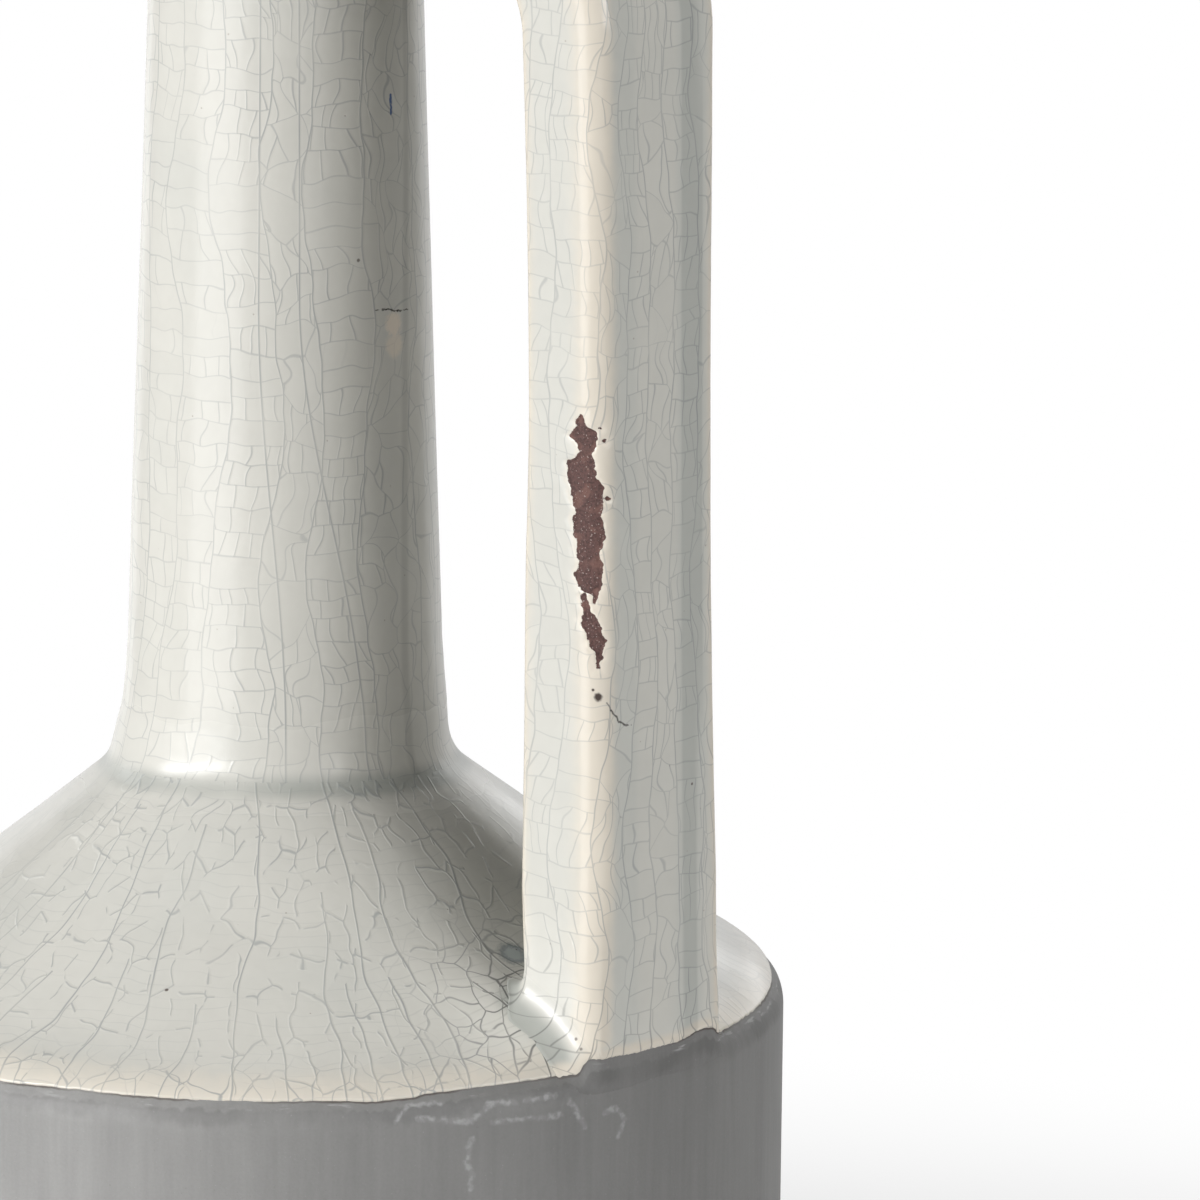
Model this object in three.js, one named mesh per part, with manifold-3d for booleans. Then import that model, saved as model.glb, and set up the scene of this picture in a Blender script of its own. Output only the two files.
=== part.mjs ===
// Jug vase: a matt cylindrical body, a glazed convex shoulder, a tall tapering neck, and a strap
// handle that rises straight from the edge of the shoulder and bends in to the neck below the mouth.
// Millimetres, +Z up, origin at the centre of the foot, handle towards +X.
import * as THREE from 'three';
import { mergeVertices } from 'three/addons/utils/BufferGeometryUtils.js';
import Module from 'manifold-3d';

// Foot ring and floor
const FOOT_RING_HEIGHT = 4;
const FOOT_RING_WIDTH = 10;
const FOOT_RING_INSET = 5;
const FOOT_RING_BEVEL = 1;
const FLOOR_THICKNESS = 8;
const FLOOR_EDGE_ROUND = 2.5;

// Cylindrical body and its rounded top edge
const BODY_RADIUS = 95.8;
const BODY_WALL = 6;
const WALL_HEIGHT = 148;
const EDGE_REACH = 7.8;
const EDGE_RISE = 9.1;
const GLAZE_LINE_ON_EDGE = 0.5;

// Convex shoulder
const SHOULDER_RISE = 39.7;
const SHOULDER_WALL = 6;
const SHOULDER_SLOPE_AT_EDGE = 0.414;
const SHOULDER_SLOPE_AT_NECK = 0.767;

// Neck and mouth
const NECK_FOOT_RADIUS = 31.2;
const NECK_TOP_RADIUS = 25;
const NECK_WALL = 5;
const NECK_FILLET = 5;
const NECK_COLLAR = 2;
const MOUTH_ABOVE_HANDLE = 8;
const LIP_HEIGHT = 10;
const LIP_FLARE = 1.6;

// Strap handle
const HANDLE_WIDTH = 30.4;
const HANDLE_THICKNESS = 17.4;
const HANDLE_CORNER = 3.4;
const HANDLE_RISE = 194;
const HANDLE_LEAN = 3.4;
const HANDLE_WAIST = 0.62;
const FOOT_EXTRA_WIDTH = 3;
const FOOT_EXTRA_THICKNESS = 1.6;
const BEND_EXTRA_WIDTH = 1.2;
const BEND_EXTRA_THICKNESS = 0.9;
const BEND_RADIUS = 16;
const FOOT_FILLET = 6;
const NECK_JOIN_FILLET_SIDE = 5;
const NECK_JOIN_FILLET_TOP = 6;
const JOINT_GAP = 0.3;
const BURIED = 1.2;

// Smoothness of the surfaces
const ROUND_STEPS = 64;
const EDGE_STEPS = 4;
const SHOULDER_STEPS = 9;
const FILLET_STEPS = 4;
const LIP_STEPS = 6;
const CORNER_STEPS = 3;
const FACE_STEPS = 3;
const UPRIGHT_STEPS = 7;
const BEND_STEPS = 7;

// Heights that follow from the sizes
const floorTopZ = FOOT_RING_HEIGHT + FLOOR_THICKNESS;
const edgeZ = floorTopZ + WALL_HEIGHT;
const shoulderStart = new THREE.Vector2(BODY_RADIUS - EDGE_REACH, edgeZ + EDGE_RISE);
const neckFoot = new THREE.Vector2(NECK_FOOT_RADIUS, shoulderStart.y + SHOULDER_RISE);
const bendZ = edgeZ + HANDLE_RISE;
const bridgeThickness = HANDLE_THICKNESS + BEND_EXTRA_THICKNESS;
const bridgeTopZ = bendZ + BEND_RADIUS + bridgeThickness;
const neckTopZ = bridgeTopZ + MOUTH_ABOVE_HANDLE;
const mouthZ = neckTopZ + LIP_HEIGHT;

// Profile curves of the turned wall, as radius and height
const edgeControlZ = shoulderStart.y - EDGE_REACH * SHOULDER_SLOPE_AT_EDGE;
const edgeCurve = new THREE.QuadraticBezierCurve(
  new THREE.Vector2(BODY_RADIUS, edgeZ),
  new THREE.Vector2(BODY_RADIUS, edgeControlZ),
  shoulderStart,
);
const glazeLineZ = edgeCurve.getPoint(GLAZE_LINE_ON_EDGE).y;

const shoulderSpan = shoulderStart.x - neckFoot.x;
const third = shoulderSpan / 3;
const shoulderCurve = new THREE.CubicBezierCurve(
  shoulderStart,
  new THREE.Vector2(shoulderStart.x - third, shoulderStart.y + third * SHOULDER_SLOPE_AT_EDGE),
  new THREE.Vector2(neckFoot.x + third, neckFoot.y - third * SHOULDER_SLOPE_AT_NECK),
  neckFoot,
);

function neckRadius(z) {
  const share = (z - neckFoot.y) / (neckTopZ - neckFoot.y);
  return THREE.MathUtils.lerp(NECK_FOOT_RADIUS, NECK_TOP_RADIUS, share);
}

function curvePoints(curve, from, to, steps) {
  const points = [];
  for (let step = 0; step <= steps; step += 1) {
    points.push(curve.getPoint(THREE.MathUtils.lerp(from, to, step / steps)));
  }
  return points;
}

// The outside of the wall, from the floor to the top of the neck
function outerProfile() {
  const filletStart = 1 - NECK_FILLET / shoulderSpan;
  const filletEndZ = neckFoot.y + NECK_FILLET;
  const fillet = new THREE.QuadraticBezierCurve(
    shoulderCurve.getPoint(filletStart),
    neckFoot,
    new THREE.Vector2(neckRadius(filletEndZ), filletEndZ),
  );
  return [
    new THREE.Vector2(BODY_RADIUS, floorTopZ),
    ...curvePoints(edgeCurve, 0, 1, EDGE_STEPS),
    ...curvePoints(shoulderCurve, 0, filletStart, SHOULDER_STEPS).slice(1),
    ...curvePoints(fillet, 0, 1, FILLET_STEPS).slice(1),
    new THREE.Vector2(NECK_TOP_RADIUS, neckTopZ),
  ];
}

// A point of the shoulder's inner face, one wall thickness below the outer face
function underShoulder(share) {
  const tangent = shoulderCurve.getTangent(share);
  const inward = new THREE.Vector2(-tangent.y, tangent.x);
  return shoulderCurve.getPoint(share).addScaledVector(inward, SHOULDER_WALL);
}

// The inside of the wall, from the floor to the top of the neck
function innerProfile() {
  const innerRadius = BODY_RADIUS - BODY_WALL;
  const boreFoot = NECK_FOOT_RADIUS - NECK_WALL;
  const start = underShoulder(0);
  const edge = new THREE.QuadraticBezierCurve(
    new THREE.Vector2(innerRadius, edgeZ),
    new THREE.Vector2(innerRadius, start.y - (innerRadius - start.x) * SHOULDER_SLOPE_AT_EDGE),
    start,
  );
  const lastShare = 1 - NECK_FILLET / shoulderSpan;
  const last = underShoulder(lastShare);
  const throatZ = last.y + (last.x - boreFoot) * SHOULDER_SLOPE_AT_NECK;
  const throatEndZ = throatZ + NECK_FILLET;
  const throat = new THREE.QuadraticBezierCurve(
    last,
    new THREE.Vector2(boreFoot, throatZ),
    new THREE.Vector2(neckRadius(throatEndZ) - NECK_WALL, throatEndZ),
  );
  const under = [];
  for (let step = 1; step <= SHOULDER_STEPS; step += 1) {
    under.push(underShoulder((lastShare * step) / SHOULDER_STEPS));
  }
  return [
    new THREE.Vector2(innerRadius, floorTopZ),
    ...curvePoints(edge, 0, 1, EDGE_STEPS),
    ...under,
    ...curvePoints(throat, 0, 1, FILLET_STEPS).slice(1),
    new THREE.Vector2(NECK_TOP_RADIUS - NECK_WALL, neckTopZ),
  ];
}

// The part of a rising profile between two heights, with new end points exactly at them
function between(profile, lowZ, highZ) {
  function at(z) {
    const next = profile.findIndex((point, index) => index > 0 && point.y >= z);
    const below = profile[next - 1];
    const above = profile[next];
    const share = (z - below.y) / (above.y - below.y);
    return new THREE.Vector2(THREE.MathUtils.lerp(below.x, above.x, share), z);
  }
  const inside = profile.filter((point) => point.y > lowZ + 1e-6 && point.y < highZ - 1e-6);
  return [at(lowZ), ...inside, at(highZ)];
}

// A turned piece with its axis upright, from a closed profile that runs up its outer side
function turned(profile) {
  const geometry = new THREE.LatheGeometry([...profile, profile[0]], ROUND_STEPS);
  return geometry.rotateX(Math.PI / 2);
}

function wallBand(lowZ, highZ) {
  const outer = between(outerProfile(), lowZ, highZ);
  const inner = between(innerProfile(), lowZ, highZ);
  return turned([...outer, ...inner.reverse()]);
}

function footRing() {
  const outer = BODY_RADIUS - FOOT_RING_INSET;
  const inner = outer - FOOT_RING_WIDTH;
  return turned([
    new THREE.Vector2(inner + FOOT_RING_BEVEL, 0),
    new THREE.Vector2(outer - FOOT_RING_BEVEL, 0),
    new THREE.Vector2(outer, FOOT_RING_BEVEL),
    new THREE.Vector2(outer, FOOT_RING_HEIGHT),
    new THREE.Vector2(inner, FOOT_RING_HEIGHT),
    new THREE.Vector2(inner, FOOT_RING_BEVEL),
  ]);
}

function baseFloor() {
  const edge = new THREE.QuadraticBezierCurve(
    new THREE.Vector2(BODY_RADIUS - FLOOR_EDGE_ROUND, FOOT_RING_HEIGHT),
    new THREE.Vector2(BODY_RADIUS, FOOT_RING_HEIGHT),
    new THREE.Vector2(BODY_RADIUS, FOOT_RING_HEIGHT + FLOOR_EDGE_ROUND),
  );
  const profile = [
    new THREE.Vector2(0, FOOT_RING_HEIGHT),
    ...curvePoints(edge, 0, 1, FILLET_STEPS),
    new THREE.Vector2(BODY_RADIUS, floorTopZ),
    new THREE.Vector2(0, floorTopZ),
  ];
  return new THREE.LatheGeometry(profile, ROUND_STEPS).rotateX(Math.PI / 2);
}

// The lip flares out a little and rolls over a round top into the bore
function mouthRim() {
  const bore = NECK_TOP_RADIUS - NECK_WALL;
  const halfWall = (NECK_WALL + LIP_FLARE) / 2;
  const middle = bore + halfWall;
  const rollZ = mouthZ - halfWall;
  const flare = new THREE.QuadraticBezierCurve(
    new THREE.Vector2(NECK_TOP_RADIUS, neckTopZ),
    new THREE.Vector2(NECK_TOP_RADIUS, (neckTopZ + rollZ) / 2),
    new THREE.Vector2(NECK_TOP_RADIUS + LIP_FLARE, rollZ),
  );
  const roll = new THREE.EllipseCurve(middle, rollZ, halfWall, halfWall, 0, Math.PI);
  return turned([
    ...curvePoints(flare, 0, 1, FILLET_STEPS),
    ...curvePoints(roll, 0, 1, LIP_STEPS).slice(1),
    new THREE.Vector2(bore, neckTopZ),
  ]);
}

// Height of the outer face at a given distance from the axis, over the edge and the shoulder
function surfaceZ(radius) {
  if (radius >= BODY_RADIUS) {
    return edgeZ;
  }
  const curve = radius > shoulderStart.x ? edgeCurve : shoulderCurve;
  let low = 0;
  let high = 1;
  while (high - low > 1e-6) {
    const middle = (low + high) / 2;
    if (curve.getPoint(middle).x > radius) {
      low = middle;
    } else {
      high = middle;
    }
  }
  return curve.getPoint(low).y;
}

// The strap's section as points with outward normals: a across the thickness, b across the width
function strapOutline(width, thickness) {
  const halfWidth = width / 2 - HANDLE_CORNER;
  const halfThickness = thickness / 2 - HANDLE_CORNER;
  const corners = [[1, 1], [-1, 1], [-1, -1], [1, -1]];
  const outline = [];
  corners.forEach(([sideA, sideB], index) => {
    for (let step = 0; step <= CORNER_STEPS; step += 1) {
      const angle = ((index + step / CORNER_STEPS) * Math.PI) / 2;
      const na = Math.cos(angle);
      const nb = Math.sin(angle);
      outline.push({
        a: sideA * halfThickness + na * HANDLE_CORNER,
        b: sideB * halfWidth + nb * HANDLE_CORNER,
        na,
        nb,
      });
    }
    const [nextA, nextB] = corners[(index + 1) % corners.length];
    const lastPoint = outline[outline.length - 1];
    const endA = nextA * halfThickness + lastPoint.na * HANDLE_CORNER;
    const endB = nextB * halfWidth + lastPoint.nb * HANDLE_CORNER;
    for (let step = 1; step < FACE_STEPS; step += 1) {
      outline.push({
        a: THREE.MathUtils.lerp(lastPoint.a, endA, step / FACE_STEPS),
        b: THREE.MathUtils.lerp(lastPoint.b, endB, step / FACE_STEPS),
        na: lastPoint.na,
        nb: lastPoint.nb,
      });
    }
  });
  return outline;
}

// The upright is slimmest at its waist and swells towards the foot and the bend
function strapAt(z) {
  const waistZ = edgeZ + HANDLE_RISE * HANDLE_WAIST;
  const towardsFoot = Math.max(0, (waistZ - z) / (waistZ - edgeZ)) ** 2;
  const towardsBend = Math.max(0, (z - waistZ) / (bendZ - waistZ)) ** 2;
  const width = HANDLE_WIDTH + FOOT_EXTRA_WIDTH * towardsFoot + BEND_EXTRA_WIDTH * towardsBend;
  const thickness = HANDLE_THICKNESS
    + FOOT_EXTRA_THICKNESS * towardsFoot + BEND_EXTRA_THICKNESS * towardsBend;
  const outerX = BODY_RADIUS - (HANDLE_LEAN * (z - edgeZ)) / HANDLE_RISE;
  return { width, thickness, centreX: outerX - thickness / 2 };
}

function uprightRing(z) {
  const strap = strapAt(z);
  const outline = strapOutline(strap.width, strap.thickness);
  return outline.map(({ a, b }) => new THREE.Vector3(strap.centreX + a, b, z));
}

// A ring of the foot's fillet: it stands off the strap, follows the surface it is luted to, and
// keeps its outer face flush with the round wall
function footRingAt(turn, depth) {
  const baseZ = surfaceZ(BODY_RADIUS - HANDLE_THICKNESS);
  const strap = strapAt(baseZ);
  const outline = strapOutline(strap.width, strap.thickness);
  const offset = FOOT_FILLET * (1 - Math.cos(turn));
  const height = FOOT_FILLET * (1 - Math.sin(turn)) - depth;
  const fadeFrom = strap.thickness / 2 - FOOT_FILLET;
  return outline.map(({ a, b, na, nb }) => {
    const standOff = offset * (1 - THREE.MathUtils.smoothstep(a, fadeFrom, strap.thickness / 2));
    const foot = new THREE.Vector2(strap.centreX + a + Math.min(na, 0) * standOff, b + nb * standOff);
    foot.clampLength(0, BODY_RADIUS);
    return new THREE.Vector3(foot.x, foot.y, surfaceZ(foot.length()) + height);
  });
}

// A ring of the bend, turned about its centre from upright to level
function bendRing(turn) {
  const strap = strapAt(bendZ);
  const pivotX = strap.centreX - strap.thickness / 2 - BEND_RADIUS;
  const reach = BEND_RADIUS + strap.thickness / 2;
  return strapOutline(strap.width, strap.thickness).map(({ a, b }) => new THREE.Vector3(
    pivotX + (reach + a) * Math.cos(turn),
    b,
    bendZ + (reach + a) * Math.sin(turn),
  ));
}

// A ring of the fillet at the neck: widest below, where it forms the arch over the finger gap
function neckJoinRing(turn, depth) {
  const strap = strapAt(bendZ);
  const centreZ = bendZ + BEND_RADIUS + strap.thickness / 2;
  return strapOutline(strap.width, strap.thickness).map(({ a, b, na, nb }) => {
    const upDown = na < 0 ? BEND_RADIUS : NECK_JOIN_FILLET_TOP;
    const fillet = THREE.MathUtils.lerp(NECK_JOIN_FILLET_SIDE, upDown, na * na);
    const y = b + nb * fillet * (1 - Math.cos(turn));
    const z = centreZ + a + na * fillet * (1 - Math.cos(turn));
    const surfaceX = Math.sqrt(Math.max(neckRadius(z) ** 2 - y ** 2, 0));
    return new THREE.Vector3(surfaceX + fillet * (1 - Math.sin(turn)) - depth, y, z);
  });
}

// A closed skin through rings that have equal numbers of points, with a cap at each end
function lofted(rings) {
  const around = rings[0].length;
  const positions = rings.flat();
  const faces = [];
  for (let ring = 0; ring + 1 < rings.length; ring += 1) {
    for (let side = 0; side < around; side += 1) {
      const here = ring * around + side;
      const beside = ring * around + ((side + 1) % around);
      faces.push(here, beside, beside + around, here, beside + around, here + around);
    }
  }
  const ends = [rings[0], rings[rings.length - 1]];
  ends.forEach((ring, index) => {
    const first = index * (rings.length - 1) * around;
    const centre = positions.length;
    const sum = ring.reduce((total, point) => total.add(point), new THREE.Vector3());
    positions.push(sum.divideScalar(around));
    for (let side = 0; side < around; side += 1) {
      const here = first + side;
      const beside = first + ((side + 1) % around);
      faces.push(...(index === 0 ? [centre, beside, here] : [centre, here, beside]));
    }
  });
  const geometry = new THREE.BufferGeometry().setFromPoints(positions);
  geometry.setIndex(faces);
  return geometry;
}

const wasm = await Module();
wasm.setup();

function toSolid(geometry) {
  const plain = geometry.clone();
  plain.deleteAttribute('normal');
  plain.deleteAttribute('uv');
  const merged = mergeVertices(plain, 1e-4);
  return new wasm.Manifold(new wasm.Mesh({
    numProp: 3,
    vertProperties: new Float32Array(merged.attributes.position.array),
    triVerts: new Uint32Array(merged.index.array),
  }));
}

function toGeometry(solid) {
  const mesh = solid.getMesh();
  const geometry = new THREE.BufferGeometry();
  geometry.setAttribute('position', new THREE.BufferAttribute(mesh.vertProperties, mesh.numProp));
  geometry.setIndex(new THREE.BufferAttribute(mesh.triVerts, 1));
  return geometry;
}

// The whole pot as a plug, one joint gap larger all round, which trims the strap's two ends
function potPlug() {
  const outer = outerProfile();
  const grown = outer.map((point, index) => {
    const before = outer[Math.max(index - 1, 0)];
    const after = outer[Math.min(index + 1, outer.length - 1)];
    const along = after.clone().sub(before).normalize();
    return new THREE.Vector2(point.x + along.y * JOINT_GAP, point.y - along.x * JOINT_GAP);
  });
  const profile = [
    new THREE.Vector2(0, floorTopZ),
    new THREE.Vector2(grown[0].x, floorTopZ),
    ...grown,
    new THREE.Vector2(grown[grown.length - 1].x, mouthZ),
    new THREE.Vector2(0, mouthZ),
  ];
  return toSolid(new THREE.LatheGeometry(profile, ROUND_STEPS).rotateX(Math.PI / 2));
}

function handleUpright(plug) {
  const rings = [footRingAt(Math.PI / 2, BURIED)];
  for (let step = FILLET_STEPS; step >= 0; step -= 1) {
    rings.push(footRingAt((step / FILLET_STEPS) * (Math.PI / 2), 0));
  }
  const startZ = surfaceZ(BODY_RADIUS - HANDLE_THICKNESS) + 2 * FOOT_FILLET;
  for (let step = 0; step <= UPRIGHT_STEPS; step += 1) {
    rings.push(uprightRing(THREE.MathUtils.lerp(startZ, bendZ, step / UPRIGHT_STEPS)));
  }
  return toGeometry(toSolid(lofted(rings)).subtract(plug));
}

function handleBridge(plug) {
  const rings = [];
  for (let step = 0; step <= BEND_STEPS; step += 1) {
    rings.push(bendRing((step / BEND_STEPS) * (Math.PI / 2)));
  }
  for (let step = 0; step <= FILLET_STEPS; step += 1) {
    rings.push(neckJoinRing((step / FILLET_STEPS) * (Math.PI / 2), 0));
  }
  rings.push(neckJoinRing(Math.PI / 2, BURIED));
  return toGeometry(toSolid(lofted(rings)).subtract(plug));
}

const crackleGlaze = { color: 0xd6d7d0, roughness: 0.18, metalness: 0 };
const bareStoneware = { color: 0x868583, roughness: 0.7, metalness: 0 };

const vase = new THREE.Group();

function addPiece(name, geometry, finish) {
  const piece = new THREE.Mesh(geometry, new THREE.MeshStandardMaterial(finish));
  piece.name = name;
  vase.add(piece);
}

const neckJointZ = neckFoot.y + NECK_FILLET + NECK_COLLAR;
const plug = potPlug();
addPiece('foot_ring', footRing(), bareStoneware);
addPiece('base_floor', baseFloor(), bareStoneware);
addPiece('body_wall', wallBand(floorTopZ, glazeLineZ), bareStoneware);
addPiece('shoulder', wallBand(glazeLineZ, neckJointZ), crackleGlaze);
addPiece('neck', wallBand(neckJointZ, neckTopZ), crackleGlaze);
addPiece('mouth_rim', mouthRim(), crackleGlaze);
addPiece('handle_upright', handleUpright(plug), crackleGlaze);
addPiece('handle_bridge', handleBridge(plug), crackleGlaze);

export default vase;
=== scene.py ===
"""Jug vase: grey stoneware body, crazed grey-white glaze over the shoulder, neck and strap handle."""
import bpy
import bmesh
from bisect import bisect_right
from math import atan2, cos, degrees, exp, pi, radians, sin, sqrt, tan, tau
from mathutils import Matrix, Vector, noise


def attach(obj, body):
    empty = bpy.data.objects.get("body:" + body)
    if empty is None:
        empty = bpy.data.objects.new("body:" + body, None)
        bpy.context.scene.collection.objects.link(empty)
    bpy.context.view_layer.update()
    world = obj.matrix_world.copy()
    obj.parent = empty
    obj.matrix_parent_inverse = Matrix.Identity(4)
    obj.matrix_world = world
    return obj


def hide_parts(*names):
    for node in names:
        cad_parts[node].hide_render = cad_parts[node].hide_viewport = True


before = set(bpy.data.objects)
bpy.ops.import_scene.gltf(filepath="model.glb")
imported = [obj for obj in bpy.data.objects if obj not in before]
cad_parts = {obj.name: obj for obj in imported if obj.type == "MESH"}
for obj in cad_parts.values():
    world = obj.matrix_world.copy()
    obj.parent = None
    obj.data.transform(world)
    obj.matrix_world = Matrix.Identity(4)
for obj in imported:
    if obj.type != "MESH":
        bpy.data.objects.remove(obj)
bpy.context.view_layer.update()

MM = 0.001

# Sizes of the turned wall, in millimetres
BODY_RADIUS = 95.8
INNER_RADIUS = 89.8
EDGE_FOOT = 160.0
SHOULDER_START = Vector((88.0, 169.1))
NECK_FOOT = Vector((31.2, 208.8))
SLOPE_AT_EDGE = 0.414
SLOPE_AT_NECK = 0.767
NECK_TOP = Vector((25.0, 396.3))
MOUTH_HEIGHT = 406.3
LIP_FLARE = 1.6
NECK_WALL = 5.0
SHOULDER_WALL = 6.0
NECK_FILLET = 5.0
NECK_SLIMMING = 0.6
LIP_RUN = 7.0
COLLAR_REACH = 4.6
COLLAR_RISE = 6.2
SEAM_HEIGHT = 165.21
TUCK = 2.4
CROWN_STEPS = 720
BODY_STEPS = 840
# Written for points of an outline that lie off the measured outer wall
OFF_WALL = -1.0

# The glaze coat and where it ends
COAT = 0.32
COAT_ROUND = 0.55
LINE_FADE = 9.0
LAY_RADIUS = 29.0

# The strap handle
STRAP_WIDTH = 30.4
STRAP_THICKNESS = 17.4
STRAP_TOP = 354.0
STRAP_LEAN = 3.4
WAIST_HEIGHT = 280.28
UPRIGHT_START = 198.0
CHIP_LOW = 235.5
CHIP_HIGH = 290.0
INNER_SWELL = 2.0
INNER_SWELL_TAPER = 1.0
FOOT_SWELL = Vector((3.0, 1.6))
BEND_SWELL = Vector((0.6, 0.9))
BEND_RADIUS = 16.0
FOOT_FILLET = 5.2
FOOT_FILLET_RISE = 7.0
JOIN_FILLET_SIDE = 5.0
JOIN_FILLET_TOP = 6.0
JOIN_FILLET_UNDER = 9.5
FACET_START = 5.5
FACET_FALL = 0.05
FACET_REACH = Vector((0.145, 0.19))

# Where the front of the vase faces, seen from above, and the camera that the photograph was taken with:
# how far round it stands, how it looks down and leans, its distance and aim in millimetres,
# and how many millimetres one point of the picture shows there
FRONT = radians(-48.0)
VIEW_SIDE = radians(42.0)
VIEW_TILT = radians(12.101)
VIEW_ROLL = 0.010
VIEW_DISTANCE = 1500.0
AIM_ACROSS = 59.825
AIM_HEIGHT = 238.425
POINT_SIZE = 0.19
PICTURE_WIDTH = 1200.0
SENSOR = 36.0

# The studio: where each soft light stands as seen from the vase, in degrees round from the camera
# and degrees up, how wide and tall it looks, and how bright it is
LIGHT_DISTANCE = 2.5
LIGHT_AIM = Vector((0.0, 0.0, 0.25))
SOFTBOXES = {
    "key": (-61.5, 17.5, 48.0, 8.5, 26.8),
    "key_spill": (-52.0, -5.0, 40.0, 20.0, 2.8),
    "rim": (-125.0, 17.5, 16.0, 25.0, 3.0),
    "fill": (54.0, 17.5, 30.0, 25.0, 5.6),
    "fill_top": (50.0, 45.0, 50.0, 30.0, 1.2),
    "fill_edge": (26.0, 6.0, 20.0, 40.0, 0.7),
    "back_spill": (148.0, 17.0, 34.0, 20.0, 1.6),
}
AMBIENT = 0.07
DRAPE_RADIUS = 3.2
DRAPE_TOP = 2.6
DRAPE_FROM = -140.0
DRAPE_TO = 135.0
BACK_GAP = 1.1
SKIRT_TOP = 0.12
SKIRT_TONE = 0.75
DRAPE_TONE = 0.05
FLOOR_RADIUS = 0.65
FLOOR_TONE = 0.86


def bezier(points, share):
    while len(points) > 1:
        points = [a.lerp(b, share) for a, b in zip(points, points[1:])]
    return points[0]


def smooth(value, low, high):
    share = min(1.0, max(0.0, (value - low) / (high - low)))
    return share * share * (3.0 - 2.0 * share)


def ramble(place, size, seed=0.0):
    """Soft unevenness between -1 and 1, over the given size in millimetres."""
    return noise.noise(Vector(place) / size + Vector((seed, 3.1 * seed, 1.7 * seed)))


class Template:
    """A maker's rib: an outline as radius and height, measured along its length."""

    def __init__(self, points):
        self.points = points
        self.runs = [0.0]
        for here, there in zip(points, points[1:]):
            self.runs.append(self.runs[-1] + (there - here).length)

    def at(self, run, below=0.0):
        index = min(max(bisect_right(self.runs, run) - 1, 0), len(self.points) - 2)
        here = self.points[index]
        step = self.points[index + 1] - here
        along = step.normalized()
        point = here + along * (run - self.runs[index])
        return point + Vector((-along.y, along.x)) * below

    def run_at_height(self, height):
        heights = [point.y for point in self.points]
        index = min(max(bisect_right(heights, height) - 1, 0), len(heights) - 2)
        share = (height - heights[index]) / (heights[index + 1] - heights[index])
        return self.runs[index] + share * (self.runs[index + 1] - self.runs[index])


span = SHOULDER_START.x - NECK_FOOT.x
edge_curve = [
    Vector((BODY_RADIUS, EDGE_FOOT)),
    Vector((BODY_RADIUS, SHOULDER_START.y - (BODY_RADIUS - SHOULDER_START.x) * SLOPE_AT_EDGE)),
    SHOULDER_START,
]
shoulder_curve = [
    SHOULDER_START,
    SHOULDER_START + Vector((-span / 3, span / 3 * SLOPE_AT_EDGE)),
    NECK_FOOT + Vector((span / 3, -span / 3 * SLOPE_AT_NECK)),
    NECK_FOOT,
]


def neck_radius(height):
    share = (height - NECK_FOOT.y) / (NECK_TOP.y - NECK_FOOT.y)
    return NECK_FOOT.x + (NECK_TOP.x - NECK_FOOT.x) * share


def outer_outline():
    last = 1 - COLLAR_REACH / span
    top = NECK_FOOT.y + COLLAR_RISE
    fillet = [bezier(shoulder_curve, last), NECK_FOOT, Vector((neck_radius(top), top))]
    points = [Vector((BODY_RADIUS, 150.0))]
    points += [bezier(edge_curve, step / 40) for step in range(41)]
    points += [bezier(shoulder_curve, last * step / 80) for step in range(1, 81)]
    points += [bezier(fillet, step / 20) for step in range(1, 21)]
    points.append(NECK_TOP)
    return Template(points)


wall = outer_outline()
LINE_RUN = wall.run_at_height(SEAM_HEIGHT)
NECK_RUN = wall.run_at_height(NECK_FOOT.y)
NECK_TOP_RUN = wall.runs[-1]


def surface_height(radius):
    """Height of the shoulder at a distance from the axis."""
    if radius >= BODY_RADIUS:
        return EDGE_FOOT
    low, high = LINE_RUN - 20.0, NECK_RUN + 3.0
    for _ in range(22):
        middle = (low + high) / 2
        if wall.at(middle).x > radius:
            low = middle
        else:
            high = middle
    return wall.at(low).y


def turning(angle):
    """Angle round the vase from its front, between -180 and 180 degrees."""
    return degrees((angle - FRONT + pi) % tau - pi)


def glaze_line(angle):
    """How far up the edge the dipped glaze stops, in millimetres along the wall."""
    around = turning(angle)
    place = Vector((cos(angle), sin(angle), 0)) * BODY_RADIUS
    line = 0.35 + 0.3 * ramble(place, 22.0, 1.0) + 0.16 * ramble(place, 5.0, 2.0)
    ragged = smooth(around, 52.0, 66.0) * (1 - smooth(around, 74.0, 80.0))
    line += (0.13 + 0.3 * ragged) * ramble(place, 1.3, 3.0)
    step = 0.55 * smooth(around, 16.8, 18.4) + 0.45 * smooth(around, 18.4, 26.0)
    line += step * (1 - smooth(around, 56.0, 66.0))
    line -= 1.3 * exp(-((around - 38.6) / 1.1) ** 2)
    line -= 0.5 * exp(-((around - 13.0) / 5.0) ** 2)
    line -= 0.45 * exp(-((around + 33.0) / 5.0) ** 2)
    return line


def hand_wobble(place):
    """The slight unevenness that throwing by hand leaves in a turned wall."""
    rings = 0.05 * sin(place.z * tau / 7.3 + 1.5 * ramble(place, 40.0, 4.0))
    return 0.12 * ramble(place, 45.0, 5.0) + rings * (0.4 + 0.6 * ramble(place, 30.0, 6.0))


def foot_distance(x, y):
    """Distance on plan from the foot of the strap, in millimetres."""
    across = max(abs(y) - (STRAP_WIDTH + FOOT_SWELL.x) / 2, 0.0)
    inward = max(BODY_RADIUS - STRAP_THICKNESS - FOOT_SWELL.y - x, 0.0)
    return sqrt(across * across + inward * inward)


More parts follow.
